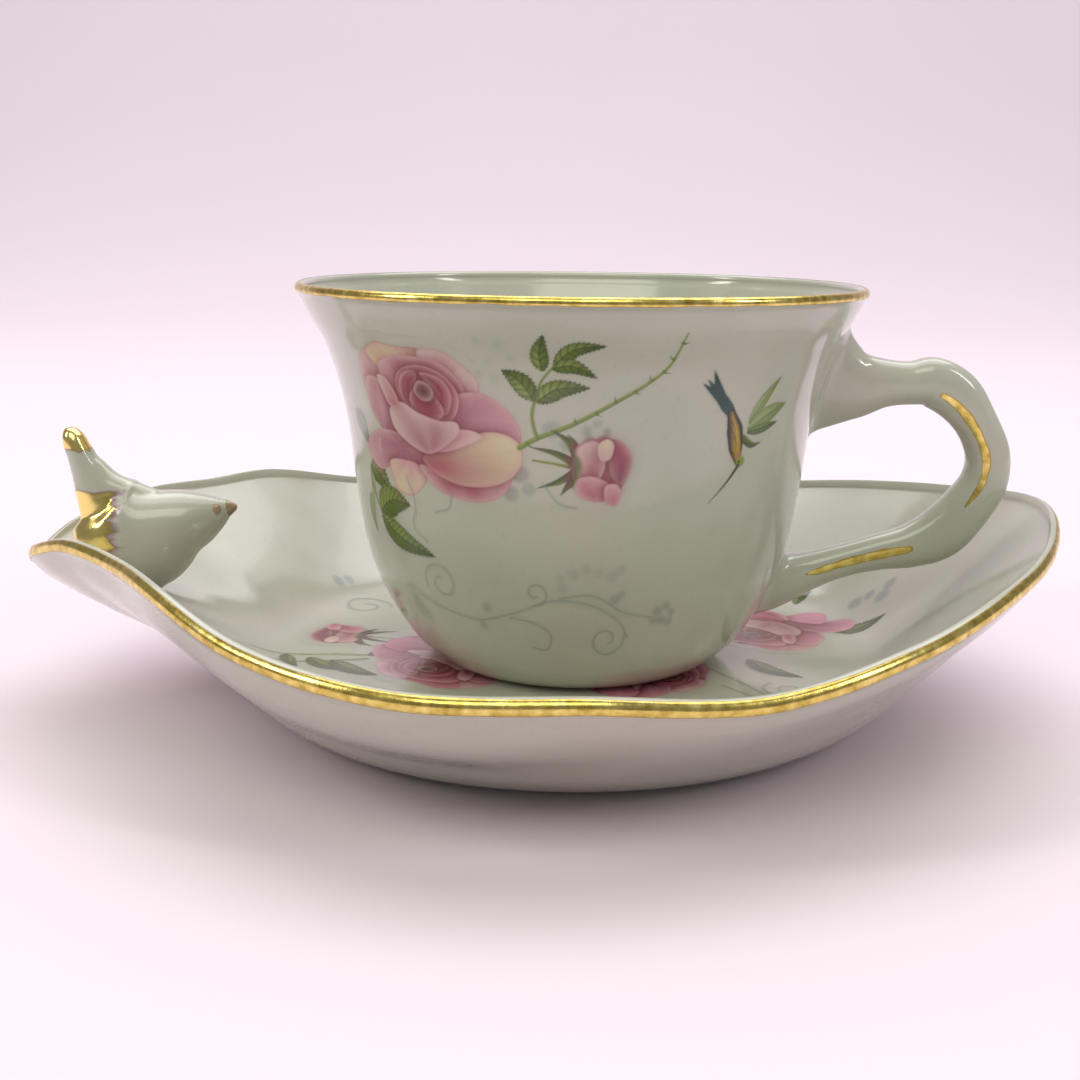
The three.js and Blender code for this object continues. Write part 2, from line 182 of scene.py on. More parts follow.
def on_cup(r, angle, z):
    """Places a point of the cup's round section, pushed out or in by the four soft lobes."""
    height = np.maximum((z - CUP_Z) / (CUP_RIM_Z - CUP_Z), 0)
    return polar(r - CUP_LOBE * height**2 * np.cos(4 * angle), angle, z)


def cup_surface(angle, z, lift=0.0):
    return on_cup(cup_radius(z) + lift, angle, z)


def half_turn(angle):
    """Degrees round the saucer from the handle side, the same on both halves."""
    degrees = np.degrees(angle) % 360
    return np.where(degrees > 180, 360 - degrees, degrees)


def saucer_edge(angle):
    """Distance from the axis and height of the saucer's edge."""
    half = half_turn(angle)
    first, last = SAUCER_EDGE[1], SAUCER_EDGE[-2]
    rows = [[-first[0], *first[1:]], *SAUCER_EDGE, [360 - last[0], *last[1:]]]
    return [smooth([(row[0], row[k]) for row in rows], half) for k in (1, 2)]


def dish_height(r, angle):
    edge_r, edge_z = saucer_edge(angle)

    def rise(at):
        return (at - SAUCER_BEND_R + np.hypot(at - SAUCER_BEND_R, SAUCER_BEND)) / 2

    part = (rise(r) - rise(0)) / (rise(edge_r) - rise(0))
    return SAUCER_WELL_Z + (edge_z - SAUCER_WELL_Z) * part


def under_height(r, angle):
    edge_r, _ = saucer_edge(angle)
    part = np.maximum(r - SAUCER_BEND_R, 0) / (edge_r - SAUCER_BEND_R)
    swell = smooth(SAUCER_SWELL, half_turn(angle)) * SWELL_PEAK * part**2 * (1 - part)
    return dish_height(r, angle) - SAUCER_WALL + SAUCER_TAPER * part - swell


def dish_surface(r, angle, lift=0.0):
    return polar(r, angle, dish_height(r, angle) + lift)


def through(stations, t):
    """A smooth curve through the stations, for t from 0 to 1, and its direction."""
    p = np.array(stations, float)
    p = np.vstack([2 * p[0] - p[1], p, 2 * p[-1] - p[-2]])
    place = clamp(np.asarray(t, float)) * (len(stations) - 1)
    i = np.minimum(place.astype(int), len(stations) - 2)
    u = (place - i)[..., None]
    a, b, c, d = p[i], p[i + 1], p[i + 2], p[i + 3]
    at = 0.5 * (2 * b + (c - a) * u + (2 * a - 5 * b + 4 * c - d) * u**2 + (3 * b - a - 3 * c + d) * u**3)
    along = 0.5 * ((c - a) + 2 * (2 * a - 5 * b + 4 * c - d) * u + 3 * (3 * b - a - 3 * c + d) * u**2)
    return at, along


def limb(stations, t, angle, lift=0.0, square=1.0):
    """Surface of a curved body in the plane y = 0. A quarter turn is the side that faces -Y."""
    at, along = through(stations, t)
    along = unit(along[..., :2])
    side, front = np.cos(angle), np.sin(angle)
    if square != 1:
        side, front = (np.sign(v) * np.abs(v) ** square for v in (side, front))
    half_in, half_across = at[..., 2] + lift, at[..., 3] + lift
    x = at[..., 0] - along[..., 1] * half_in * side
    z = at[..., 1] + along[..., 0] * half_in * side
    return np.stack(np.broadcast_arrays(x, -half_across * front, z), -1)


# ---- meshes ----


def shade_smooth(mesh):
    mesh.polygons.foreach_set("use_smooth", np.ones(len(mesh.polygons), bool))


def new_piece(name, mesh):
    """Puts a mesh in the scene, smoothly shaded."""
    shade_smooth(mesh)
    piece = bpy.data.objects.new(name, mesh)
    bpy.context.scene.collection.objects.link(piece)
    return piece


def grid(name, points, loop_rows=False, loop_columns=True, keep=None):
    """A smooth mesh over rows of points in millimetres about the cup's axis."""
    rows, columns = points.shape[:2]
    i, j = np.meshgrid(
        np.arange(rows if loop_rows else rows - 1),
        np.arange(columns if loop_columns else columns - 1),
        indexing="ij",
    )
    i, j = i.ravel(), j.ravel()
    i2, j2 = (i + 1) % rows, (j + 1) % columns
    faces = np.stack([i * columns + j, i * columns + j2, i2 * columns + j2, i2 * columns + j], -1)
    vertices = points.reshape(-1, 3) * MM + np.array([AXIS_X * MM, 0, 0])
    used = np.arange(len(vertices))
    if keep is not None:
        faces = faces[keep.ravel()[faces].any(axis=1)]
        used, faces = np.unique(faces, return_inverse=True)
        faces = faces.reshape(-1, 4)
        vertices = vertices[used]
    mesh = bpy.data.meshes.new(name)
    mesh.from_pydata(vertices.tolist(), [], faces.tolist())
    return new_piece(name, mesh), used


def capped(points):
    """The rows of a tube, with both ends drawn in to their middles."""
    ends = [np.broadcast_to(row.mean(axis=0), row.shape) for row in (points[0], points[-1])]
    return np.concatenate([[ends[0]], points, [ends[1]]])


def face_out(piece):
    """Turns a closed mesh's faces outwards."""
    work = bmesh.new()
    work.from_mesh(piece.data)
    bmesh.ops.remove_doubles(work, verts=work.verts, dist=1e-7)
    bmesh.ops.recalc_face_normals(work, faces=work.faces)
    work.to_mesh(piece.data)
    work.free()
    return piece


def spread(*stops):
    """Values from stop to stop: (start, end, steps), ..., without repeating the joins."""
    parts = [np.linspace(a, b, n, endpoint=False) for a, b, n in stops]
    return np.concatenate([*parts, [stops[-1][1]]])


def cup_line():
    """The cup's section from the middle of its underside over the rim to the middle of its floor."""
    foot = [
        [0, 10.3], [12, 10.3], [18.2, 10.2], [19.3, 9.7], [19.6, 8.7], [20.2, CUP_Z], [21.8, CUP_Z],
        [22.7, 8.3], [23.9, 8.8], [25, 9.5],
    ]
    z = spread((CUP_BASE_Z, 20, 14), (20, 60, 40), (60, CUP_LIP_Z, 18))
    outside = np.stack([cup_radius(z), z], -1)
    middle = np.array([outside[-1][0] - CUP_LIP / 2 + 0.2, CUP_LIP_Z])
    turn = np.radians(np.linspace(-20, 200, 14))
    lip = middle + np.stack([np.cos(turn), np.sin(turn) * 1.2], -1) * CUP_LIP / 2
    wall = CUP_WALL - (CUP_WALL - CUP_LIP) * clamp((z - CUP_THIN_FROM) / CUP_THIN_OVER)
    inside = np.stack([cup_radius(z) - wall, z], -1)[::-1]
    inside = inside[(inside[:, 1] > CUP_INSIDE[0]) & (inside[:, 1] < CUP_INSIDE[1])]
    floor = [[28.4, 16.2], [26.6, 14.7], [24, 13.6], [20.5, 13.1], [14, 13], [0, 13]]
    return np.vstack([foot, outside[:-1], lip, inside, floor])


def cup_porcelain():
    line = cup_line()
    angle = full_turn(288)
    piece, _ = grid("cup_porcelain", on_cup(line[:, :1], angle[None], line[:, 1:]))
    return face_out(piece)


def saucer_line(angle):
    """The saucer's section at each angle, from the middle over the edge to the middle below."""
    edge_r, edge_z = (v[:, None] for v in saucer_edge(angle))
    a = angle[:, None]
    reach = smooth(SAUCER_FOOT_REACH, half_turn(a))
    half = (SAUCER_WALL - SAUCER_TAPER) / 2
    inner, outer_r = np.tile(spread((0, 44, 10), (44, 60, 22)), (len(angle), 1)), 60
    r_top = np.hstack([inner[:, :-1], outer_r + (edge_r - half - outer_r) * np.linspace(0, 1, 30)])
    turn = np.radians(np.linspace(95, -60, 16))
    r_edge = edge_r - half + half * np.cos(turn)
    z_edge = edge_z - half + half * np.sin(turn)
    outer = edge_r - half + half * np.cos(turn[-1])
    first = SAUCER_FOOT_R + 0.2 + reach
    r_low = first + (outer - first) * np.linspace(1, 0, 60)[1:]
    foot = r_low - reach
    flare = smooth(SAUCER_FLARE, np.clip(foot, SAUCER_FOOT_R, SAUCER_FLARE_R))
    flare = flare + np.maximum(foot - SAUCER_FLARE_R, 0) * 2
    under = under_height(r_low, a)
    near_edge = clamp(1 - (outer - r_low) / 3) ** 2
    under = under + (z_edge[:, -1:] - under_height(outer, a)) * near_edge
    z_low = (flare + under - np.hypot(flare - under, SAUCER_FOOT_BLEND)) / 2
    foot_r = np.tile([45.7, 45.2, 43.8, 43.3, 43, 42.4, 41.6, 30, 12, 0], (len(angle), 1))
    foot_z = np.tile([0.1, 0, 0, 0.15, 0.8, 3.6, 4.5, 4.6, 4.6, 4.6], (len(angle), 1))
    foot_r[:, :7] += reach
    r = np.hstack([r_top, r_edge, r_low, foot_r])
    z = np.hstack([dish_height(r_top, a), z_edge, z_low, foot_z])
    return r, z


def saucer_porcelain():
    angle = full_turn(400)
    r, z = saucer_line(angle)
    piece, _ = grid("saucer_porcelain", polar(r, angle[:, None], z).swapaxes(0, 1))
    return face_out(piece)


def flared(stations, t, angle, height_over, fillet, square=1.0):
    """A limb whose surface swells out to meet the surface that it grows from."""
    lift = np.zeros(np.broadcast(t, angle).shape)
    for _ in range(12):
        over = np.clip(height_over(limb(stations, t, angle, lift, square)), 0, fillet)
        lift = 0.5 * lift + 0.5 * (fillet - np.sqrt(fillet**2 - (fillet - over) ** 2))
    return limb(stations, t, angle, lift, square)


def over_cup(points):
    """Distance of points outside the cup's wall, roughly."""
    r = np.hypot(points[..., 0], points[..., 1])
    z = np.clip(points[..., 2], CUP_BASE_Z, CUP_RIM_Z)
    steep = np.gradient(cup_radius(np.array([z - 0.5, z, z + 0.5])), 0.5, axis=0)[1]
    return (r - cup_radius(z)) / np.hypot(1, steep)


def handle_surface(t, angle):
    return flared(HANDLE, t, angle, over_cup, HANDLE_FILLET, HANDLE_SQUARE)


def handle_porcelain():
    """The handle, with its roots ending inside the cup's wall."""
    t = np.linspace(0, 1, 260)[:, None]
    angle = full_turn(56)[None]
    points = handle_surface(t, angle)
    r, turn = to_polar(points)
    z = np.clip(points[..., 2], CUP_BASE_Z, CUP_RIM_Z)
    wall, _ = to_polar(on_cup(cup_radius(z) - HANDLE_ROOT, turn, z))
    points[..., :2] *= np.maximum(wall / r, 1)[..., None]
    piece, _ = grid("handle_porcelain", points)
    return piece


def brush_stroke(name, t0, t1, turn, width, side):
    """A stroke of gold along the handle, pointed at both ends. Side 1 faces -Y."""
    u = np.linspace(0, 1, 140)[:, None]
    v = np.linspace(-0.5, 0.5, 17)[None]
    wobble = 1 + 0.07 * np.sin(23 * u + side) + 0.05 * np.sin(51 * u)
    swell = width * wobble * (0.06 + 0.94 * np.sqrt(clamp(np.sin(math.pi * u**0.8))))
    angle = side * (math.pi / 2 + turn + swell * v)
    points = over_handle(t0 + (t1 - t0) * u + 0 * v, angle)
    piece, _ = grid(name, points, loop_columns=False)
    fringe = np.minimum(np.minimum(0.5 - np.abs(v), 1) * 7, np.minimum(u, 1 - u) * 30)
    paint_value(piece, "cover", clamp(fringe + 0 * u).ravel())
    return piece


def over_handle(t, angle):
    """Points of the handle's surface moved out along its normal, by the gold's thickness."""
    at = handle_surface(t, angle)
    step = 1e-3
    along = handle_surface(t + step, angle) - at
    around = handle_surface(t, angle + step) - at
    normal = unit(np.cross(along, around))
    middle, _ = through(HANDLE, t)
    out = at - np.stack([middle[..., 0], 0 * t, middle[..., 1]], -1)
    return at + GOLD_LIFT * normal * np.sign((normal * out).sum(-1, keepdims=True))


def rim_band(name, r, z, angle, place):
    """A thin band of gilding: r and z hold one open section for each angle."""
    piece, _ = grid(name, place(r, angle[:, None], z), loop_rows=True, loop_columns=False)
    across = np.tile(np.linspace(0, 1, r.shape[1]), r.shape[0])
    paint_value(piece, "cover", clamp(np.minimum(across, 1 - across) * 16))
    return piece


def paint_value(piece, name, values):
    layer = piece.data.attributes.new(name, "FLOAT", "POINT")
    layer.data.foreach_set("value", np.asarray(values, np.float32))


def uneven(angle, seed, size):
    """A hand-drawn wobble round a closed line."""
    rng = np.random.default_rng(seed)
    waves = [(k, rng.uniform(-1, 1), rng.uniform(0, 2 * math.pi)) for k in (2, 5, 9, 17, 31)]
    return size * sum(a * np.sin(k * angle + b) for k, a, b in waves) / 2


def saucer_gilding():
    angle = full_turn(720)
    edge_r, edge_z = (v[:, None] for v in saucer_edge(angle))
    half = (SAUCER_WALL - SAUCER_TAPER) / 2
    high = 62 + uneven(angle, 3, 8)
    low = -34 + uneven(angle, 8, 6)
    turn = np.radians(low[:, None] + (high - low)[:, None] * np.linspace(0, 1, 15))
    r = edge_r - half + (half + GOLD_LIFT) * np.cos(turn)
    z = edge_z - half + (half + GOLD_LIFT) * np.sin(turn)
    return rim_band("saucer_rim_gilding_leaf", r, z, angle, polar)


def cup_gilding():
    angle = full_turn(480)
    line = cup_line()
    rim = line[(line[:, 1] > 70.1) & (line[:, 0] > 45.2)]
    rim = rim + GOLD_LIFT * unit(rim - rim.mean(axis=0))
    length = np.concatenate([[0], np.cumsum(np.linalg.norm(np.diff(rim, axis=0), axis=1))])
    start = 0.5 + uneven(angle, 5, 0.15)
    end = length[-1] - 1.6 + uneven(angle, 6, 0.15)
    along = start[:, None] + (end - start)[:, None] * np.linspace(0, 1, 17)
    r, z = (np.interp(along, length, rim[:, k]) for k in (0, 1))
    return rim_band("cup_rim_gilding_leaf", r, z, angle, on_cup)


# ---- the bird ----


def over_dish(points):
    """Height of points over the dish, measured square to its slope, roughly."""
    r, angle = to_polar(points)
    return DISH_SLOPE * (points[..., 2] - dish_height(r, angle))


def bird_body():
    """Body, tail and the web between them, melted into one skin."""
    angle = full_turn(40)[None]
    t = np.linspace(0, 1, 90)[:, None]
    shapes = [
        flared(BIRD, t, angle, over_dish, BIRD_FILLET),
        limb(TAIL, t, angle),
        limb(TAIL_FILLET, t, angle),
    ]
    parts = []
    for i, points in enumerate(shapes):
        r, turn = to_polar(points)
        points[..., 2] = np.maximum(points[..., 2], dish_height(r, turn) - SAUCER_WALL / 2)
        piece, _ = grid(f"bird_part_{i}", capped(points))
        parts.append(face_out(piece))
    return melted("bird_porcelain", parts, BIRD_VOXEL, BIRD_SMOOTHING)


def melted(name, parts, voxel, passes):
    """One skin round several closed meshes, with its creases smoothed."""
    work = bmesh.new()
    for part in parts:
        work.from_mesh(part.data)
        bpy.data.objects.remove(part)
    mesh = bpy.data.meshes.new(name)
    work.to_mesh(mesh)
    work.free()
    piece = new_piece(name, mesh)
    remesh = piece.modifiers.new("remesh", "REMESH")
    remesh.mode = "VOXEL"
    remesh.voxel_size = voxel * MM
    soften = piece.modifiers.new("soften", "SMOOTH")
    soften.factor = 0.5
    soften.iterations = passes
    bpy.context.view_layer.update()
    final = bpy.data.meshes.new_from_object(piece.evaluated_get(bpy.context.evaluated_depsgraph_get()))
    piece.modifiers.clear()
    piece.data = final
    final.name = name
    shade_smooth(final)
    return piece


def vertices_of(piece):
    """Vertex places in millimetres about the cup's axis, and their normals."""
    count = len(piece.data.vertices)
    at, normal = np.empty(count * 3), np.empty(count * 3)
    piece.data.vertices.foreach_get("co", at)
    piece.data.vertices.foreach_get("normal", normal)
    return at.reshape(-1, 3) / MM - [AXIS_X, 0, 0], normal.reshape(-1, 3)


def bird_gold(at):
    """How thick the gold lies on the bird: 1 is gold, below that it runs out into lustre."""
    x, y, z = at.T
    ragged = 0.5 * np.sin(2.1 * z + 1) + 0.35 * np.sin(4.7 * z + y) + 0.2 * np.sin(9.1 * z)
    rump = clamp((-79.4 + ragged - x) / 4.2 + 0.5)
    below_tail = clamp((36.2 + 0.3 * np.sin(1.7 * y) - z) / 0.7)
    tip = clamp((z - 42.6 - 0.25 * np.sin(2 * x + 3 * y)) / 0.6)
    return np.maximum(rump * below_tail, tip)


def bird_gilding(bird):
    """The gilded rump and tail tip, as a film over the bird's own skin."""
    at, normal = vertices_of(bird)
    gold = bird_gold(at)
    corners = np.empty(len(bird.data.loops), int)
    bird.data.loops.foreach_get("vertex_index", corners)
    faces = corners.reshape(-1, 4)
    faces = faces[(gold[faces] > 0.01).any(axis=1)]
    used, faces = np.unique(faces, return_inverse=True)
    film = bpy.data.meshes.new("bird_gilding_leaf")
    places = (at[used] + [AXIS_X, 0, 0] + GOLD_LIFT * normal[used]) * MM
    film.from_pydata(places.tolist(), [], faces.reshape(-1, 4).tolist())
    piece = new_piece("bird_gilding_leaf", film)
    paint_value(piece, "cover", gold[used])
    return piece


def beak():
    points = limb(BEAK, np.linspace(0, 1, 24)[:, None], full_turn(28)[None])
    piece, _ = grid("bird_beak_tip", capped(points))
    return face_out(piece)


def eye(name, side):
    """A low domed eye on the side of the head. Side 1 faces -Y."""
    t, angle = np.array([[EYE_AT]]), np.array([[side * EYE_TURN]])
    middle = limb(BIRD, t, angle)[0, 0]
    out = limb(BIRD, t, angle, 1.0)[0, 0] - middle
    turn = np.array(Vector(unit(out)).to_track_quat("Z", "Y").to_matrix())
    rise = np.linspace(0, math.pi / 2, 9)[:, None]
    around = full_turn(24)[None]
    dome = polar(EYE_R * np.cos(rise), around, EYE_RISE * np.sin(rise) - EYE_SINK + 0 * around)
    piece, _ = grid(name, dome @ turn.T + middle)
    return piece


# ---- materials ----


def new_material(name):
    material = bpy.data.materials.new(name)
    material.use_nodes = True
    tree = material.node_tree
    return material, tree, tree.nodes["Principled BSDF"]


def link(source, target):
    target.id_data.links.new(source, target)


def noise(tree, scale, detail=2.0):
    """Noise over the object, in features of scale millimetres."""
    place = tree.nodes.new("ShaderNodeTexCoord").outputs["Object"]
    node = tree.nodes.new("ShaderNodeTexNoise")
    node.inputs["Scale"].default_value = 1 / (scale * MM)
    node.inputs["Detail"].default_value = detail
    link(place, node.inputs["Vector"])
    return node.outputs["Fac"]


def ramp(value, *stops):
    """Colours or greys from (position, colour) stops."""
    node = value.id_data.nodes.new("ShaderNodeValToRGB")
    elements = node.color_ramp.elements
    while len(elements) < len(stops):
        elements.new(0.5)
    for element, (position, colour) in zip(elements, stops):
        element.position = position
        element.color = colour if isinstance(colour, tuple) else (colour, colour, colour, 1)
    link(value, node.inputs["Fac"])
    return node.outputs["Color"]


def surface_value(tree, name, output="Fac"):
    """A value that a piece carries at its points."""
    node = tree.nodes.new("ShaderNodeAttribute")
    node.attribute_name = name
    return node.outputs[output]


def mix(tree, share, one, other, how="MIX"):
    node = tree.nodes.new("ShaderNodeMix")
    node.data_type = "RGBA"
    node.blend_type = how
    for socket, value in (("Factor", share), ("A", one), ("B", other)):
        if isinstance(value, (float, tuple)):
            node.inputs[socket].default_value = value
        else:
            link(value, node.inputs[socket])
    return node.outputs["Result"]


def uneven_gloss(tree, shader, scale, detail, low, high):
    """Roughness that wanders from low to high."""
    link(ramp(noise(tree, scale, detail), (0.3, low), (0.7, high)), shader.inputs["Roughness"])


def bumps(tree, shader, scale, detail, depth, strength):
    """A relief of depth millimetres in the shading."""
    node = tree.nodes.new("ShaderNodeBump")
    node.inputs["Distance"].default_value = depth * MM
    node.inputs["Strength"].default_value = strength
    link(noise(tree, scale, detail), node.inputs["Height"])
    link(node.outputs["Normal"], shader.inputs["Normal"])


def glaze_colour_and_shade(tree):
    """A slightly green porcelain with faint cloudy tints and fine specks in the glaze, made greyish by
    painted shade: the whole colour is kept dark to stand in for dim light on it.
    """
    # painted shade: these tones are darker overall than the porcelain itself, standing in for the dim light
    # that falls on it
    cloudy = ramp(
        noise(tree, 26),
        (0.3, (0.475, 0.485, 0.4, 1)), (0.5, (0.525, 0.52, 0.44, 1)), (0.7, (0.545, 0.51, 0.435, 1)),
    )
    speck = ramp(noise(tree, 1.1, 4), (0.2, (0.70, 0.68, 0.62, 1)), (0.42, (1, 1, 1, 1)))
    return mix(tree, 0.25, cloudy, speck, "MULTIPLY")


def glaze(tree, shader):
    """The glaze's gloss and its soft unevenness."""
    uneven_gloss(tree, shader, 9, 2, 0.1, 0.18)
    shader.inputs["Specular IOR Level"].default_value = 0.55
    shader.inputs["Coat Weight"].default_value = 0.3
    shader.inputs["Coat Roughness"].default_value = 0.05
    bumps(tree, shader, 7, 1, 0.12, 0.35)


def porcelain():
    material, tree, shader = new_material("porcelain_glaze")
    link(glaze_colour_and_shade(tree), shader.inputs["Base Color"])
    glaze(tree, shader)
    return material


def painted_porcelain():
    """The same glaze over painted colours."""
    material, tree, shader = new_material("painted_glaze")
    colour = mix(tree, 1.0, glaze_colour_and_shade(tree), surface_value(tree, "paint", "Color"), "MULTIPLY")
    link(colour, shader.inputs["Base Color"])
    glaze(tree, shader)
    return material


def lustre():
    """Gold that thins out over the glaze through a purple lustre."""
    material, tree, shader = new_material("gold_lustre")
    patchy = tree.nodes.new("ShaderNodeMath")
    patchy.operation = "MULTIPLY_ADD"
    link(noise(tree, 1.3, 4), patchy.inputs[0])
    patchy.inputs[1].default_value = 0.5
    patchy.inputs[2].default_value = -0.25
    total = tree.nodes.new("ShaderNodeMath")
    total.operation = "ADD"
    link(patchy.outputs[0], total.inputs[0])
    link(surface_value(tree, "cover"), total.inputs[1])
    thickness = total.outputs[0]
    film = ramp(thickness, (0.1, 0.0), (0.3, 0.55), (0.62, 1.0))
    metal = ramp(thickness, (0.5, 0.0), (0.62, 1.0))
    tones = ramp(
        thickness,
        (0.3, (0.42, 0.24, 0.34, 1)), (0.5, (0.2, 0.11, 0.1, 1)),
        (0.62, (0.74, 0.54, 0.15, 1)), (0.9, (0.94, 0.75, 0.27, 1)),
    )
    link(mix(tree, film, glaze_colour_and_shade(tree), tones), shader.inputs["Base Color"])
    link(metal, shader.inputs["Metallic"])
    uneven_gloss(tree, shader, 2.4, 3, 0.1, 0.24)
    bumps(tree, shader, 0.9, 2, 0.05, 0.3)
    return material


def enamel():
    """Thin brown enamel, darker where it pools."""
    material, tree, shader = new_material("brown_enamel")
    tones = ramp(noise(tree, 0.7, 3), (0.3, (0.3, 0.2, 0.11, 1)), (0.7, (0.44, 0.32, 0.19, 1)))
    link(tones, shader.inputs["Base Color"])
    uneven_gloss(tree, shader, 1.5, 2, 0.1, 0.2)
    shader.inputs["Coat Weight"].default_value = 0.5
    bumps(tree, shader, 0.6, 2, 0.03, 0.4)
    return material


def gilding():
    """Brushed-on gold leaf: streaky, thin and brown where it runs out at its edges."""
    material, tree, shader = new_material("gold_leaf")
    cover = surface_value(tree, "cover")
    streaks = ramp(
        noise(tree, 1.6, 5),
        (0.3, (0.5, 0.35, 0.07, 1)), (0.55, (0.78, 0.6, 0.17, 1)), (0.75, (0.96, 0.78, 0.32, 1)),
    )
    link(mix(tree, cover, (0.36, 0.22, 0.08, 1.0), streaks), shader.inputs["Base Color"])
    link(cover, shader.inputs["Metallic"])
    uneven_gloss(tree, shader, 2.4, 3, 0.16, 0.3)
    bumps(tree, shader, 0.8, 2, 0.05, 0.4)
    return material


def dress(piece, material, body, slot, *nodes):
    """Gives a piece its material and body, and hides the CAD nodes that it stands for. The slot is not used.
    """
    piece.data.materials.clear()
    piece.data.materials.append(material)
    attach(piece, body)
    if nodes:
        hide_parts(*nodes)
    return piece


# ---- painted decoration ----
# Colours are tints that the glaze under them is multiplied by.

PAINT_CELL = 0.15
SAUCER_CELL = 0.2
SAUCER_STRENGTH = 1.3  # the saucer's print is deeper than the cup's
FAINTEST = 0.012  # tints nearer to clear glaze than this are left out
ROSE_CORE = (0.36, 0.04, 0.09)
DEEP_ROSE = (0.72, 0.11, 0.24)
ROSE = (0.98, 0.28, 0.45)
PINK = (1.1, 0.56, 0.76)
PALE_PINK = (1.2, 0.86, 0.98)
CREAM = (1.26, 1.16, 0.86)
MAUVE = (0.66, 0.24, 0.4)
LEAF_DARK = (0.07, 0.12, 0.035)
LEAF = (0.27, 0.38, 0.08)
LEAF_LIGHT = (0.55, 0.68, 0.22)
SLATE = (0.5, 0.56, 0.62)


def closed_curve(points, steps=8):
    p = np.array(points, float)
    u = (np.arange(steps) / steps)[None, :, None]
    a, b, c, d = (np.roll(p, k, axis=0)[:, None] for k in (1, 0, -1, -2))
    curve = 2 * b + (c - a) * u + (2 * a - 5 * b + 4 * c - d) * u**2 + (3 * b - a - 3 * c + d) * u**3
    return curve.reshape(-1, 2) / 2


def to_segments(at, start, end):
    """Distance from each point to every segment, and how far along the segment it falls."""
    along = end - start
    away = at[..., None, :] - start
    t = clamp((away * along).sum(-1) / (along**2).sum(-1))
    return np.linalg.norm(away - t[..., None] * along, axis=-1), t


def depth_in(at, loop):
    """Distance to a closed outline, positive inside it."""
    end = np.roll(loop, -1, axis=0)
    gap, _ = to_segments(at, loop, end)
    y = at[..., None, 1]
    crosses = (loop[:, 1] > y) != (end[:, 1] > y)
    x = loop[:, 0] + (y - loop[:, 1]) * (end[:, 0] - loop[:, 0]) / (end[:, 1] - loop[:, 1] + 1e-12)
    odd = (crosses & (at[..., None, 0] < x)).sum(-1) % 2 == 1
    return np.where(odd, 1, -1) * gap.min(-1)


def along_line(at, line):
    """Share of the way along a line, and the distance to its left, for each point."""
    start, end = line[:-1], line[1:]
    gap, t = to_segments(at, start, end)
    nearest = gap.argmin(-1)
    pick = nearest[..., None]
    share = (nearest + np.take_along_axis(t, pick, -1)[..., 0]) / len(start)
    along = (end - start)[nearest]
    away = at - start[nearest]
    side = np.sign(along[..., 0] * away[..., 1] - along[..., 1] * away[..., 0])
    return share, side * np.take_along_axis(gap, pick, -1)[..., 0]


def blend(one, other, share):
    return np.asarray(one) + (np.asarray(other) - np.asarray(one)) * clamp(share)[..., None]


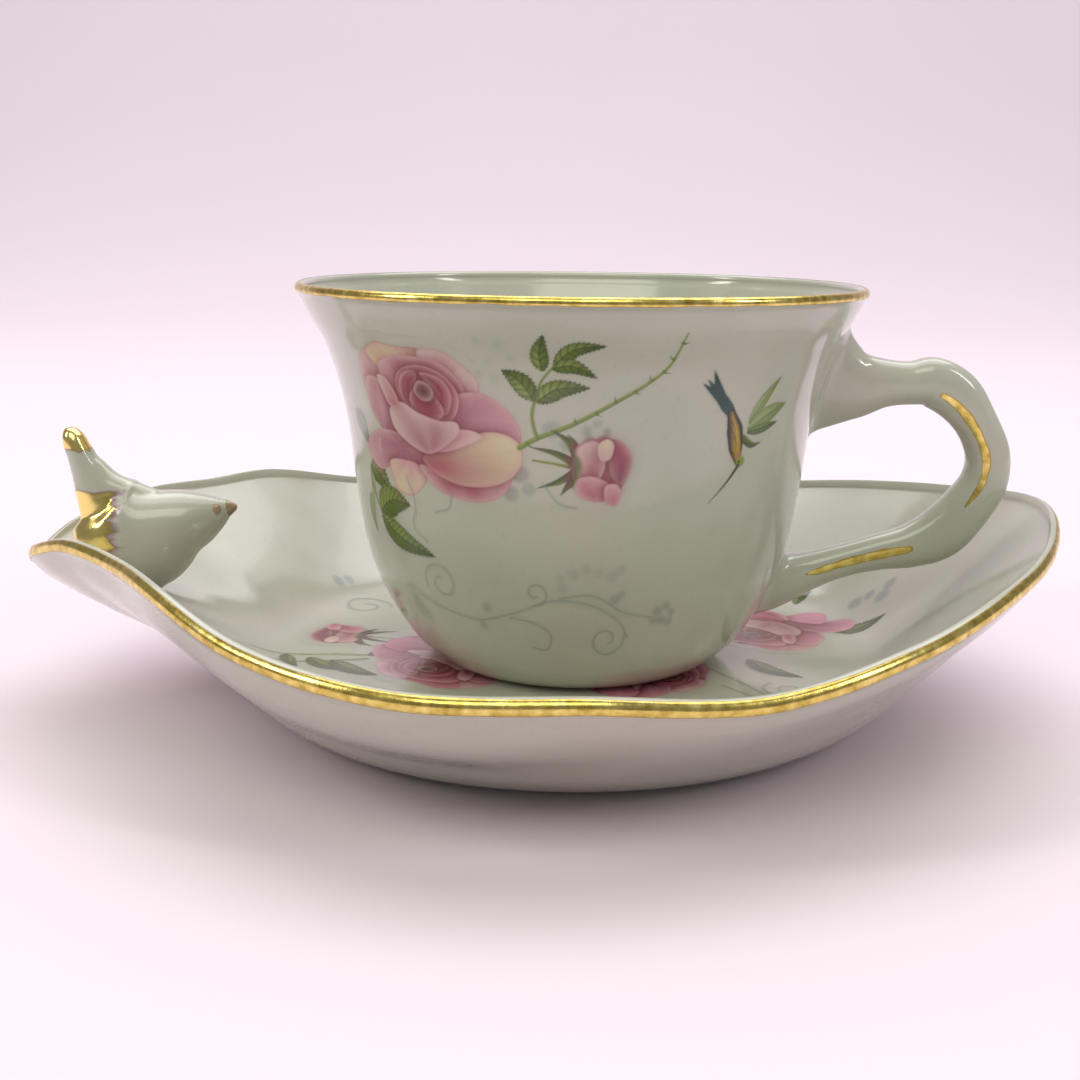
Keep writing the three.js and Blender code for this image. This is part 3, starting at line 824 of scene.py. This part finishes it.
class Painting:
    """Tints on a grid of points over a patch of surface: [across, up] in millimetres."""

    def __init__(self, low, high, cell=PAINT_CELL):
        self.cell = cell
        across, up = (np.arange(a, b + cell, cell) for a, b in zip(low, high))
        self.at = np.stack(np.meshgrid(across, up), -1)
        self.low = np.array(low)
        self.tint = np.ones((*self.at.shape[:2], 3))
        self.place()

    def place(self, centre=(0, 0), scale=1.0, turn=0.0):
        """Where the next shapes go: their own origin, size and turn in degrees."""
        c, s = math.cos(math.radians(turn)), math.sin(math.radians(turn))
        self.centre, self.scale = np.array(centre), scale
        self.axes = np.array([[c, s], [-s, c]]) * scale

    def placed(self, points):
        return np.array(points, float)[:, :2] @ self.axes + self.centre

    def near(self, points, margin):
        """The part of the grid round some points: its slices, and its own points."""
        first = np.floor((points.min(0) - margin - self.low) / self.cell).astype(int).clip(0)
        last = np.ceil((points.max(0) + margin - self.low) / self.cell).astype(int).clip(0)
        where = slice(first[1], last[1]), slice(first[0], last[0])
        return where, self.at[where]

    def lay(self, where, colour, cover):
        self.tint[where] += (np.asarray(colour) - self.tint[where]) * cover[..., None]

    def petal(self, outline, root, deep, pale, rim=PALE_PINK, curve=1.15, cast=0.75):
        """A petal that deepens towards its root, with a light turned edge and streaks."""
        loop = closed_curve(self.placed(outline))
        root = self.placed([root])[0]
        where, at = self.near(loop, 1.5)
        depth = depth_in(at, loop)
        under = clamp(1.4 - self.tint[where][..., 1]) ** 2
        self.lay(where, ROSE_CORE, cast * under * np.exp(-np.maximum(-depth, 0) / (0.7 * self.scale)))
        away = at - root
        reach = np.linalg.norm(away, axis=-1) / np.linalg.norm(loop - root, axis=-1).max()
        turn = np.arctan2(away[..., 1], away[..., 0])
        streak = 0.6 * np.sin(31 * turn + root[0]) + 0.4 * np.sin(67 * turn + 2 * root[1])
        fold = 0.12 * np.sin(7 * turn + root[0])
        colour = blend(deep, pale, clamp(reach + fold) ** curve)
        colour = colour * (1 + 0.04 * streak * clamp(reach))[..., None]
        colour = blend(colour, rim, 0.7 * np.exp(-np.maximum(depth, 0) / (0.55 * self.scale)))
        colour = blend(colour, DEEP_ROSE, np.exp(-((depth - 0.02) / 0.13) ** 2) * 0.3)
        self.lay(where, colour, clamp(depth / 0.16 + 0.5))

    def leaf(self, rib, width, dark=LEAF_DARK, mid=LEAF, light=LEAF_LIGHT, veins=1.1, blunt=0.75):
        """A leaf about its middle rib, lighter on its left half, with side veins."""
        line, _ = through(self.placed(rib), np.linspace(0, 1, 17))
        length = np.linalg.norm(np.diff(line, axis=0), axis=1).sum()
        width = width * self.scale
        where, at = self.near(line, width + 0.5)
        share, aside = along_line(at, line)
        teeth = 0.07 * width * np.sin(share * length / (0.5 * self.scale) * 2 * math.pi)
        half = width * np.sin(math.pi * clamp(share) ** blunt) ** 0.85 + teeth * (share < 0.97)
        depth = half - np.abs(aside)
        lit = 0.55 + 0.5 * np.sign(aside) * clamp(np.abs(aside) / 0.3) - 0.4 * share
        colour = blend(mid, light, lit)
        colour = blend(colour, dark, 0.8 * np.exp(-np.maximum(depth, 0) / (0.4 * self.scale)))
        colour = blend(colour, dark, 0.55 * clamp(share * 1.6 - 0.7))
        rows = (share * length - 0.8 * np.abs(aside)) / (veins * self.scale)
        colour = blend(colour, dark, 0.6 * np.exp(-(((rows % 1) - 0.5) / 0.16) ** 2) * (share < 0.9))
        colour = blend(colour, dark, 0.75 * np.exp(-(aside / 0.13) ** 2))
        self.lay(where, colour, clamp(depth / 0.15 + 0.4))

    def stroke(self, line, widths, colour, light=None, cover=1.0, soft=0.14):
        """A brush stroke along a line, of half widths from its start to its end."""
        line, _ = through(self.placed(line), np.linspace(0, 1, 12 * len(line)))
        where, at = self.near(line, max(widths) + 0.5)
        share, aside = along_line(at, line)
        half = np.interp(share, np.linspace(0, 1, len(widths)), widths) * self.scale
        paint = blend(colour, light or colour, 0.5 + 0.5 * aside / np.maximum(half, 0.05))
        self.lay(where, paint, cover * clamp((half - np.abs(aside)) / soft + 0.5))

    def dot(self, place, size, colour, cover=1.0, soft=0.5):
        middle = self.placed([place])
        size = size * self.scale
        where, at = self.near(middle, size + 1.5)
        gap = np.linalg.norm(at - middle[0], axis=-1)
        self.lay(where, colour, cover * clamp((size - gap) / soft + 0.5))


# The full rose, from its rear petals to the front ones: outline, root, colour at the root and
# colour at the edge, in millimetres about the flower's middle.
ROSE_PETALS = [
    ([(-12.5, 4.5), (-11.3, 7.7), (-8.3, 9.8), (-5.6, 9.2), (-5.5, 4), (-7.5, -0.5), (-11, 0.5)],
     (-6, -1), ROSE, PALE_PINK),
    ([(-9, 8.5), (-6.4, 10.6), (-2.6, 10.3), (1, 10.1), (3.6, 8), (2, 4.5), (-4, 4)], (-1, 2.5), ROSE, CREAM),
    ([(0.6, 9.6), (4.4, 10), (7, 8), (8.8, 5.8), (8.2, 2.4), (4.5, 0), (2, 4)], (1.5, 2.5), ROSE, PALE_PINK),
    ([(-7.5, 6.5), (-4.6, 8.6), (-0.6, 9), (3.4, 8.4), (6, 6), (6.4, 2.6), (0, 0), (-5.5, 1)],
     (0.2, 2.5), DEEP_ROSE, PINK),
    ([(3, 1.8), (6.3, 3.9), (10, 3.7), (13, 1.3), (14.3, -1.7), (13.5, -3.7), (9, -3.4), (4, -3)],
     (3.5, -2.5), MAUVE, PINK),
    ([(-12, 4.2), (-9, 5.2), (-6, 2.2), (-4, -3), (-6, -4.9), (-10, -3.2), (-12.4, 0)],
     (-4.5, -3.5), MAUVE, PINK),
    ([(-4.8, 3.6), (-3.6, 6.4), (0, 7.7), (3.7, 6.6), (5.7, 3.4), (4.4, -0.2), (1, -1.6), (-3, -0.2)],
     (0.2, 3), ROSE_CORE, ROSE),
    ([(-4.3, 3.8), (-3, 6.2), (-0.4, 6.6), (-1.4, 3.6), (-2, 1), (-3.7, 1.4)],
     (-0.6, 3.4), ROSE_CORE, DEEP_ROSE),
    ([(0.2, 6.5), (3.3, 5.9), (4.6, 3.4), (3.5, 0.5), (1.4, 1), (1.7, 4)], (0.4, 3.4), ROSE_CORE, DEEP_ROSE),
    ([(-2.6, 2.6), (-0.8, 4.4), (1.8, 3.2), (3, 0.6), (0.8, -1), (-2, 0)], (0.2, 3.8), ROSE_CORE, DEEP_ROSE),
    ([(-1.5, 3.7), (-0.5, 5.2), (1, 5), (1.8, 3.7), (1, 2.4), (-0.6, 2.4)],
     (0.2, 3.6), (0.16, 0.02, 0.04), ROSE_CORE),
    ([(-14.8, -5), (-11, -3.2), (-5.5, -3.4), (-1, -5.3), (0, -8), (-3, -9.6), (-8, -8.6), (-12.5, -9.8),
      (-15.8, -7.4)], (-6, -5.5), MAUVE, PINK),
    ([(-9.5, -8.2), (-6, -7.4), (-2.6, -8), (-1.6, -10.2), (-4.6, -12.9), (-8.2, -12.2)],
     (-4.5, -7), PINK, CREAM),
    ([(-2.6, -7.8), (3, -8.6), (10, -8), (12.9, -8.3), (11, -11.4), (7.5, -12.6), (3.5, -12.3), (0, -11)],
     (5, -6.5), DEEP_ROSE, PINK),
    ([(-1.8, -6.4), (3, -4.7), (7.5, -2.2), (11, -1.7), (13.8, -3), (14.4, -6), (12.5, -8.7), (9, -10.1),
      (4.5, -10.2), (0.3, -8.8)], (-3, -7.5), DEEP_ROSE, CREAM),
    ([(-1.8, -5.2), (1.6, -2.2), (6.4, -1.6), (8.6, -2.6), (5.5, -4.3), (2, -5.4)],
     (-1.4, -5.2), ROSE, PALE_PINK),
    ([(-7.3, 0.4), (-4.6, 1.7), (-1.5, 0.3), (2, -0.6), (4.7, -0.6), (5, -2.3), (2.5, -4.5), (-0.5, -5.9),
      (-4, -4.9), (-7, -2.6)], (0, -6.6), MAUVE, PALE_PINK),
    ([(-8.4, 5.2), (-6.6, 5.2), (-5.2, 2.6), (-5.2, 0.6), (-7.4, 1.2)], (-5, 1), DEEP_ROSE, PALE_PINK),
]

BUD_PETALS = [
    ([(-3.9, 0.4), (-3.2, 3), (-0.8, 4), (2.4, 3.7), (4.3, 1.6), (4.2, -1.2), (2.4, -4), (-1.6, -4.2),
      (-3.6, -2.6)], (-1, -4.4), DEEP_ROSE, PINK),
    ([(0.6, 3.8), (2.9, 3.6), (4.5, 1.4), (4.3, -1.2), (3, -3.2), (1.6, -1.4), (1.2, 1)],
     (2, -3.4), ROSE_CORE, DEEP_ROSE),
    ([(-3.6, 0.2), (-3.1, 2.6), (-1, 3.7), (0.6, 2.4), (0.6, -0.8), (-0.8, -3), (-3, -2)],
     (-1.2, -4), DEEP_ROSE, PALE_PINK),
    ([(-0.4, 3), (0.9, 4), (1.9, 3), (1.4, 1), (0, 0.8)], (0.9, 0), PINK, CREAM),
    ([(-3.3, -2.2), (-1.2, -1.6), (1.2, -2.6), (2.2, -4.2), (0.6, -5.4), (-2, -5.2), (-3.5, -4)],
     (0, -6.4), DEEP_ROSE, PINK),
    ([(0.8, -3.2), (2.4, -2.8), (3.2, -4.2), (2.6, -6), (1, -5.6)], (1.6, -6.6), DEEP_ROSE, PINK),
]


def paint_rose(art, cream=CREAM):
    for outline, root, deep, pale in ROSE_PETALS:
        pale, rim = (cream, PINK) if pale is CREAM else (pale, PALE_PINK)
        art.petal(outline, root, deep, pale, rim)
    for start, end, reach in ((20, 250, 1.0), (160, 400, 1.7), (-60, 170, 2.5), (90, 300, 3.2)):
        turn = np.radians(np.linspace(start, end, 9))
        curl = np.stack([0.2 + reach * 1.15 * np.cos(turn), 3.5 + reach * np.sin(turn)], -1)
        art.stroke(curl, (0.05, 0.16, 0.05), ROSE_CORE, cover=0.55, soft=0.25)


def paint_at(art, paint, centre, scale=1.0, turn=0.0, **options):
    """Paints a flower about its own middle, then goes back to the patch's own place and size."""
    art.place(centre, scale, turn)
    paint(art, **options)
    art.place()


def paint_bud(art):
    """A rosebud that opens to the right, in its dark sepals."""
    art.stroke([(-9.5, 0.6), (-6.5, 0.2), (-3.4, -0.4)], (0.16, 0.2, 0.32), LEAF, LEAF_LIGHT)
    for tip, bend in (
        ((-7, 5.2), (-4.4, 3.4)), ((-10, 2.6), (-6, 1.6)), ((-9, -3.6), (-5.6, -2.4)),
        ((-5.6, -4.6), (-4.4, -3)), ((-4.6, 4.6), (-3.6, 3)),
    ):
        art.stroke([(-2.6, -0.4), bend, tip], (0.75, 0.5, 0.04), LEAF_DARK, LEAF)
    for outline, root, deep, pale in BUD_PETALS:
        art.petal(outline, root, deep, pale)
    base = [(-3.9, 2.2), (-3.2, 0), (-3.8, -3.2)]
    art.stroke(base, (0.2, 0.7, 0.2), LEAF_DARK, LEAF, cover=0.85, soft=0.6)


def paint_leaf_cluster(art):
    """Five leaves on a stalk that rises from the origin."""
    art.stroke([(0, 0), (-0.5, 3), (0, 5.6), (1, 8.4), (2.6, 10.6)], (0.3, 0.24, 0.14), LEAF, LEAF_LIGHT)
    for rib, width in (
        ([(1.2, 9.8), (0.9, 12.4), (1.5, 15.2)], 1.2), ([(2.6, 10.6), (5.2, 13), (9.2, 13.6)], 1.1),
        ([(2.4, 10.2), (5, 10.6), (8.2, 8.9)], 1.1), ([(-0.1, 5.4), (-1.8, 8.2), (-4.2, 9.9)], 1.5),
        ([(0.2, 5.2), (3, 7.2), (7.4, 7.5)], 1.5),
    ):
        art.leaf(rib, width)


def paint_thorny_stem(art, line):
    art.stroke(line, (0.42, 0.38, 0.3, 0.24, 0.12), LEAF, LEAF_LIGHT)
    at, along = through(line, np.linspace(0.08, 0.95, 11))
    for i, (place, way) in enumerate(zip(at, unit(along))):
        left = np.array([-way[1], way[0]]) * (1 if i % 2 else -1)
        thorn = [place, place + 0.4 * left, place + 0.8 * left + 0.3 * way]
        art.stroke(thorn, (0.24, 0.12, 0.03), LEAF)


def paint_humming_bird(art):
    """A small hovering bird about its own middle, with its tail up to the left."""
    teal, deep_teal = (0.02, 0.17, 0.19), (0.01, 0.06, 0.08)
    for tip, width in (((-6.8, 11.2), 0.85), ((-8, 9.2), 0.85), ((-7.4, 9.8), 0.8)):
        art.leaf([(-1.2, 3.2), (-4.4, 6.6), tip], width, deep_teal, teal, teal, 9)
    for feather, width, *tones in (
        ([(1.2, 2.6), (3.4, 6.4), (5.4, 9.6)], 0.9, LEAF, (0.55, 0.72, 0.42), (0.86, 0.98, 0.7)),
        ([(1.2, 1.6), (5, 3.8), (8.6, 5.2)], 1.5, LEAF, (0.5, 0.68, 0.36), (0.8, 0.94, 0.6)),
        ([(1.2, 1.2), (4.6, 1.7), (7.6, 2.4)], 0.8, LEAF_DARK, (0.4, 0.56, 0.3), (0.6, 0.78, 0.44)),
    ):
        art.leaf(feather, width, *tones, 0.5)
    art.stroke([(0.6, 0.4), (2.6, -0.8), (4.6, -0.6)], (0.6, 0.5, 0.05), (0.12, 0.1, 0.06), LEAF)
    body = [(-2.4, 4.4), (-1.2, 1.8), (-0.4, -1), (0.4, -3.4)]
    art.stroke(body, (0.7, 1.45, 1.3, 0.5), (0.045, 0.03, 0.02))
    art.stroke(body, (0.1, 0.6, 0.8, 0.25), (0.5, 0.3, 0.06), (1.1, 0.76, 0.12), soft=0.7)
    art.dot((0.2, -2.2), 0.6, (0.9, 0.35, 0.2), 0.7)
    art.dot((0.9, -3.2), 0.8, (0.42, 0.55, 0.1))
    art.dot((0.6, -3.2), 0.2, (0.04, 0.03, 0.03), soft=0.15)
    art.stroke([(0.6, -3.8), (-1.4, -6.4), (-4.2, -9.2)], (0.28, 0.16, 0.05), (0.1, 0.09, 0.08))
    for start, end in (((-2, 3.2), (-1, 1.6)), ((-1.8, 2), (-0.6, 0.4)), ((-1.2, 0.8), (-0.2, -0.8))):
        art.stroke([start, end], (0.12, 0.05), (0.1, 0.06, 0.04), cover=0.7)


def paint_scroll(art, line, width=0.17):
    art.stroke(line, (width, width * 1.2, width), SLATE, cover=0.6, soft=0.25)


def spiral(middle, reach, start, turns):
    """A curl that winds in to its middle: points in millimetres."""
    share = np.linspace(0, 1, 14)
    turn = math.radians(start) + turns * 2 * math.pi * share
    r = reach * (1 - 0.75 * share)
    return np.stack([middle[0] + r * np.cos(turn), middle[1] + r * np.sin(turn)], -1)


def paint_curls(art, *curls, width=0.17):
    """Spirals, each of a middle, a reach, the angle at which it starts and its turns."""
    for curl in curls:
        paint_scroll(art, spiral(*curl), width)


def paint_sprig(art, places, size=0.8, colour=SLATE, cover=0.55):
    """Small soft berries or florets."""
    for k, place in enumerate(places):
        art.dot(place, size * (1 - 0.12 * (k % 3)), colour, cover, 0.7)


def paint_cup_front():
    art = Painting((-43, 13), (36, 69))
    paint_sprig(art, [(-9.2, 46.2), (-10.6, 43.2), (-8, 44), (-4.6, 53), (-2.4, 51)], 1.3)
    florets = [(-15, 59), (-14, 61), (-12.6, 62.6), (-11, 65.4), (-13.6, 65.8), (-9.6, 63.4), (-12, 60.4)]
    paint_sprig(art, florets, 0.6, cover=0.22)
    paint_sprig(art, [(0.2, 53), (1.6, 54), (3, 53), (2.6, 51.6), (0.6, 51.6)], 0.75)
    art.leaf([(-41.6, 53), (-40, 50.5), (-38.4, 47.6)], 1.9, SLATE, (0.5, 0.58, 0.45), (0.6, 0.68, 0.55))
    for line in ([(-39, 42), (-38.4, 39), (-36.5, 36)], [(-39, 44), (-39.6, 40), (-40.6, 34)]):
        art.stroke(line, (0.4, 0.3, 0.2), LEAF, LEAF_LIGHT)
    for rib, width, *tones in (
        ([(-40.4, 39.6), (-41.2, 36.6), (-40.4, 32.8)], 1.1, LEAF, (0.5, 0.56, 0.34), (0.6, 0.66, 0.44)),
        ([(-39, 44.4), (-36.4, 43.4), (-33, 40.6)], 2.2), ([(-37.6, 37), (-33.6, 39.4), (-28.8, 39.4)], 2.7),
        ([(-37.4, 36.4), (-32.4, 33.6), (-24.6, 31.6)], 2.1),
    ):
        art.leaf(rib, width, *tones)
    paint_at(art, paint_rose, (-23.2, 54))
    paint_at(art, paint_leaf_cluster, (-6.8, 51.8))
    stem = [(-9.2, 50.2), (-6.5, 51.8), (-1.5, 54), (3.6, 57), (8, 60), (10.6, 62.8), (11.8, 67.2)]
    paint_thorny_stem(art, stem)
    paint_at(art, paint_bud, (2.2, 47.8))
    paint_at(art, paint_humming_bird, (23.6, 50.6))
    paint_lower_scrolls(art)
    return art


def paint_lower_scrolls(art):
    for line in (
        [(-31, 24.5), (-25, 22.8), (-18, 22), (-11, 24), (-5, 26.4), (1, 26), (6, 23.4), (8.4, 20)],
        [(-12, 23), (-8, 22.4), (-5.2, 20.4), (-6, 17.6), (-8.6, 17.8)],
        [(-3.5, 27), (2, 27.4), (7, 24.6), (12, 23.4)],
        [(-29, 44), (-27.6, 40), (-28.6, 36), (-26, 34)],
        [(-20, 43), (-21, 40), (-23.6, 39)],
        [(-6, 45), (-3.6, 42), (-1, 41.4)],
    ):
        paint_scroll(art, line)
    curls = ((-24.4, 27.4), 3.6, 200, -1.3), ((-7.4, 27.6), 2.2, -100, 1.1), ((4.6, 19.6), 3.4, 20, -1.2)
    paint_curls(art, *curls)
    flower = [(13, 24.4), (14.4, 25.2), (15.6, 24), (14, 22.8), (15.4, 22.4), (12.6, 22.8)]
    paint_sprig(art, flower, 0.85)
    berries = [(-1.4, 31), (0.6, 31.8), (2.6, 31.2), (4.6, 30.6), (6, 31.6), (-3.4, 30.2), (-3, 28.6)]
    paint_sprig(art, berries, 0.9, (0.66, 0.58, 0.72), 0.32)
    paint_sprig(art, [(-16, 24.4), (-17.4, 21.2), (6.4, 27.6), (5.4, 26.8)], 0.8)


def paint_cup_back():
    """The same flowers as a smaller loose spray."""
    art = Painting((95, 20), (145, 67))
    paint_at(art, paint_leaf_cluster, (114, 48), 0.8, 24)
    paint_at(art, paint_leaf_cluster, (111, 46), 0.8, 160)
    paint_thorny_stem(art, [(114, 44), (120, 42), (126, 43.6), (132, 47.6), (135, 53)])
    paint_at(art, paint_rose, (113, 45), 0.72, -20)
    paint_at(art, paint_bud, (131, 38), 0.8, -35)
    paint_curls(art, ((120, 31), 3, 100, 1.2), ((104, 33), 2.6, 60, -1.2))
    paint_scroll(art, [(102, 34), (109, 28), (117, 27), (125, 30)])
    paint_sprig(art, [(126, 31), (127.4, 32), (128.4, 30.8), (127, 29.8)])
    return art


def paint_saucer():
    """Flowers on the dish: [x, y] about the cup's axis."""
    art = Painting((-62, -52), (66, 52), SAUCER_CELL)
    for line in ([(-56, -8), (-48, -6.6), (-38, -5.6), (-28, -8)], [(-52, -12), (-44, -10), (-36, -8)]):
        art.stroke(line, (0.2, 0.35, 0.5), LEAF, LEAF_LIGHT, cover=0.8)
    for rib, width in (
        ([(-46, -8), (-43, -12), (-38, -15)], 1.8), ([(-42, -9), (-38, -14), (-33, -17)], 2),
        ([(-50, -7), (-49, -11), (-47, -14)], 1.4), ([(-36, -6), (-32, -2), (-30, 4)], 1.6),
        ([(30, -6), (33, -12), (38, -16)], 2), ([(47, 12), (52, 8), (57, 7)], 2),
        ([(44, 26), (47, 32), (47, 38)], 2),
    ):
        art.leaf(rib, width)
    paint_at(art, paint_bud, (-42.6, 5.4), 1.1, 175)
    for where in (((-23, -9.6), 1.05, 150), ((35, 12), 1.0, 150), ((13, -15), 0.85, -100)):
        paint_at(art, paint_rose, *where, cream=PINK)
    paint_at(art, paint_rose, (-20, 36), 0.75, 60)
    paint_at(art, paint_bud, (-8, 42), 0.9, -20)
    for line in ([(22, -10), (26.5, -17), (30, -24)], [(24, -20), (30, -27), (38, -29)]):
        paint_scroll(art, line, 0.25)
    paint_curls(art, ((34, -22), 4, 120, 1.2), ((-40, 24), 5, 0, 1.3), width=0.25)
    right = [(57.6, 13.4), (59.4, 15), (56, 16.4), (53.6, 17)]
    others = [(-46.4, 31), (-44.6, 33), (52, -16), (50, -19)]
    paint_sprig(art, right + others, 1.3)
    art.tint **= SAUCER_STRENGTH
    return art


def decal(name, art, surface):
    """A thin patch over a surface that carries painted tints. surface(at) places the grid's points."""
    marked = np.abs(art.tint - 1).max(-1) > FAINTEST
    piece, used = grid(name, surface(art.at), loop_columns=False, keep=marked)
    colour = np.ones((len(used), 4), np.float32)
    colour[:, :3] = art.tint.reshape(-1, 3)[used]
    layer = piece.data.attributes.new("paint", "FLOAT_COLOR", "POINT")
    layer.data.foreach_set("color", colour.ravel())
    return piece


def on_cup_patch(at):
    return cup_surface(at[..., 0] / PAINT_R - math.pi / 2, at[..., 1], PAINT_LIFT)


def on_dish_patch(at):
    return dish_surface(*to_polar(at), PAINT_LIFT)


# ---- stage, light and camera ----


def stage_floor():
    """A pale floor that curves up into a backdrop."""
    half, bend_y, bend_r, top = 3, 0.7, 1.8, 4        # metres
    turn = np.radians(np.linspace(-90, 0, 24))
    y = np.concatenate([[-half, 0.5], bend_y + bend_r * np.cos(turn), [bend_y + bend_r]])
    z = np.concatenate([[0, 0], bend_r + bend_r * np.sin(turn), [top]])
    x = np.array([-half, half])
    points = np.stack(np.broadcast_arrays(x[None], y[:, None], z[:, None]), -1) / MM
    floor, _ = grid("stage_floor", points, loop_columns=False)
    material, tree, shader = new_material("stage_paper")
    tint = ramp(noise(tree, 300), (0.3, (0.85, 0.735, 0.815, 1)), (0.7, (0.86, 0.745, 0.825, 1)))
    link(tint, shader.inputs["Base Color"])
    shader.inputs["Roughness"].default_value = 0.9
    shader.inputs["Specular IOR Level"].default_value = 0.1
    floor.data.materials.append(material)


def softbox(name, place, aim, size, watts, colour=(1, 1, 1)):
    lamp = bpy.data.lights.new(name, "AREA")
    lamp.shape = "RECTANGLE"
    lamp.size, lamp.size_y = size
    lamp.energy = watts
    lamp.color = colour
    holder = bpy.data.objects.new(name, lamp)
    holder.location = place
    holder.rotation_euler = (Vector(aim) - Vector(place)).to_track_quat("-Z", "Y").to_euler()
    bpy.context.scene.collection.objects.link(holder)


def lights():
    middle = (0, 0, 0.04)
    softbox("light_top", (0.05, 0.3, 1.0), middle, (1.3, 0.9), 6.5)
    softbox("light_front", (-0.15, -0.9, 1.15), middle, (1.0, 0.6), 5.5, (0.93, 1, 0.8))
    softbox("light_backdrop", (0, 1.3, 2.0), (0, 2.0, 0.3), (3.4, 1.6), 27)
    softbox("light_left", (-1.0, -0.3, 0.7), middle, (0.18, 0.5), 3.2, (1, 0.98, 0.95))
    softbox("light_right", (0.95, -0.45, 0.75), middle, (0.12, 0.5), 2.6, (0.97, 0.99, 1))
    world = bpy.data.worlds.new("soft_room")
    world.use_nodes = True
    background = world.node_tree.nodes["Background"]
    background.inputs["Color"].default_value = (0.93, 0.93, 0.9, 1)
    background.inputs["Strength"].default_value = 0.27
    bpy.context.scene.world = world


def camera():
    data = bpy.data.cameras.new("camera")
    data.lens = CAMERA_LENS
    data.sensor_width = 36
    holder = bpy.data.objects.new("camera", data)
    place = Matrix.Translation(Vector([CAMERA_AT[0] + AXIS_X, *CAMERA_AT[1:]]) * MM)
    tilt = Matrix.Rotation(math.radians(90 - CAMERA_DOWN), 4, "X")
    holder.matrix_world = place @ tilt @ Matrix.Rotation(math.radians(CAMERA_ROLL), 4, "Z")
    bpy.context.scene.collection.objects.link(holder)
    bpy.context.scene.camera = holder


# ---- the set ----

camera()
stage_floor()
lights()
bpy.context.scene.view_settings.view_transform = "Standard"

white = porcelain()
gold = gilding()
painted = painted_porcelain()
bird = bird_body()
dress(saucer_porcelain(), white, "saucer", "saucer_porcelain", "saucer_dish", "saucer_foot_ring")
dress(saucer_gilding(), gold, "saucer", "gilding", "saucer_rim_gilding")
dress(decal("saucer_flowers", paint_saucer(), on_dish_patch), painted, "saucer", "saucer_porcelain")
dress(bird_gilding(bird), lustre(), "saucer", "gilding", "bird_rump_gilding_front", "bird_rump_gilding_back",
      "bird_tail_tip_gilding")
dress(bird, white, "saucer", "bird_porcelain", "bird_figure")
brown = enamel()
for name, side in (("front", 1), ("back", -1)):
    dress(eye(f"bird_eye_bead_{name}", side), brown, "saucer", "brown_enamel", f"bird_eye_{name}")
    for place, stroke in HANDLE_STROKES.items():
        piece = brush_stroke(f"handle_gold_{place}_{name}", *stroke, side)
        dress(piece, gold, "cup", "gilding", f"handle_gilding_{place}_{name}")
dress(beak(), brown, "saucer", "brown_enamel", "bird_beak")
dress(cup_porcelain(), white, "cup", "cup_porcelain", "cup_bowl", "cup_foot_ring")
dress(cup_gilding(), gold, "cup", "gilding", "cup_rim_gilding")
dress(handle_porcelain(), white, "cup", "cup_porcelain", "cup_handle")
dress(decal("cup_flowers_front", paint_cup_front(), on_cup_patch), painted, "cup", "cup_porcelain")
dress(decal("cup_flowers_back", paint_cup_back(), on_cup_patch), painted, "cup", "cup_porcelain")
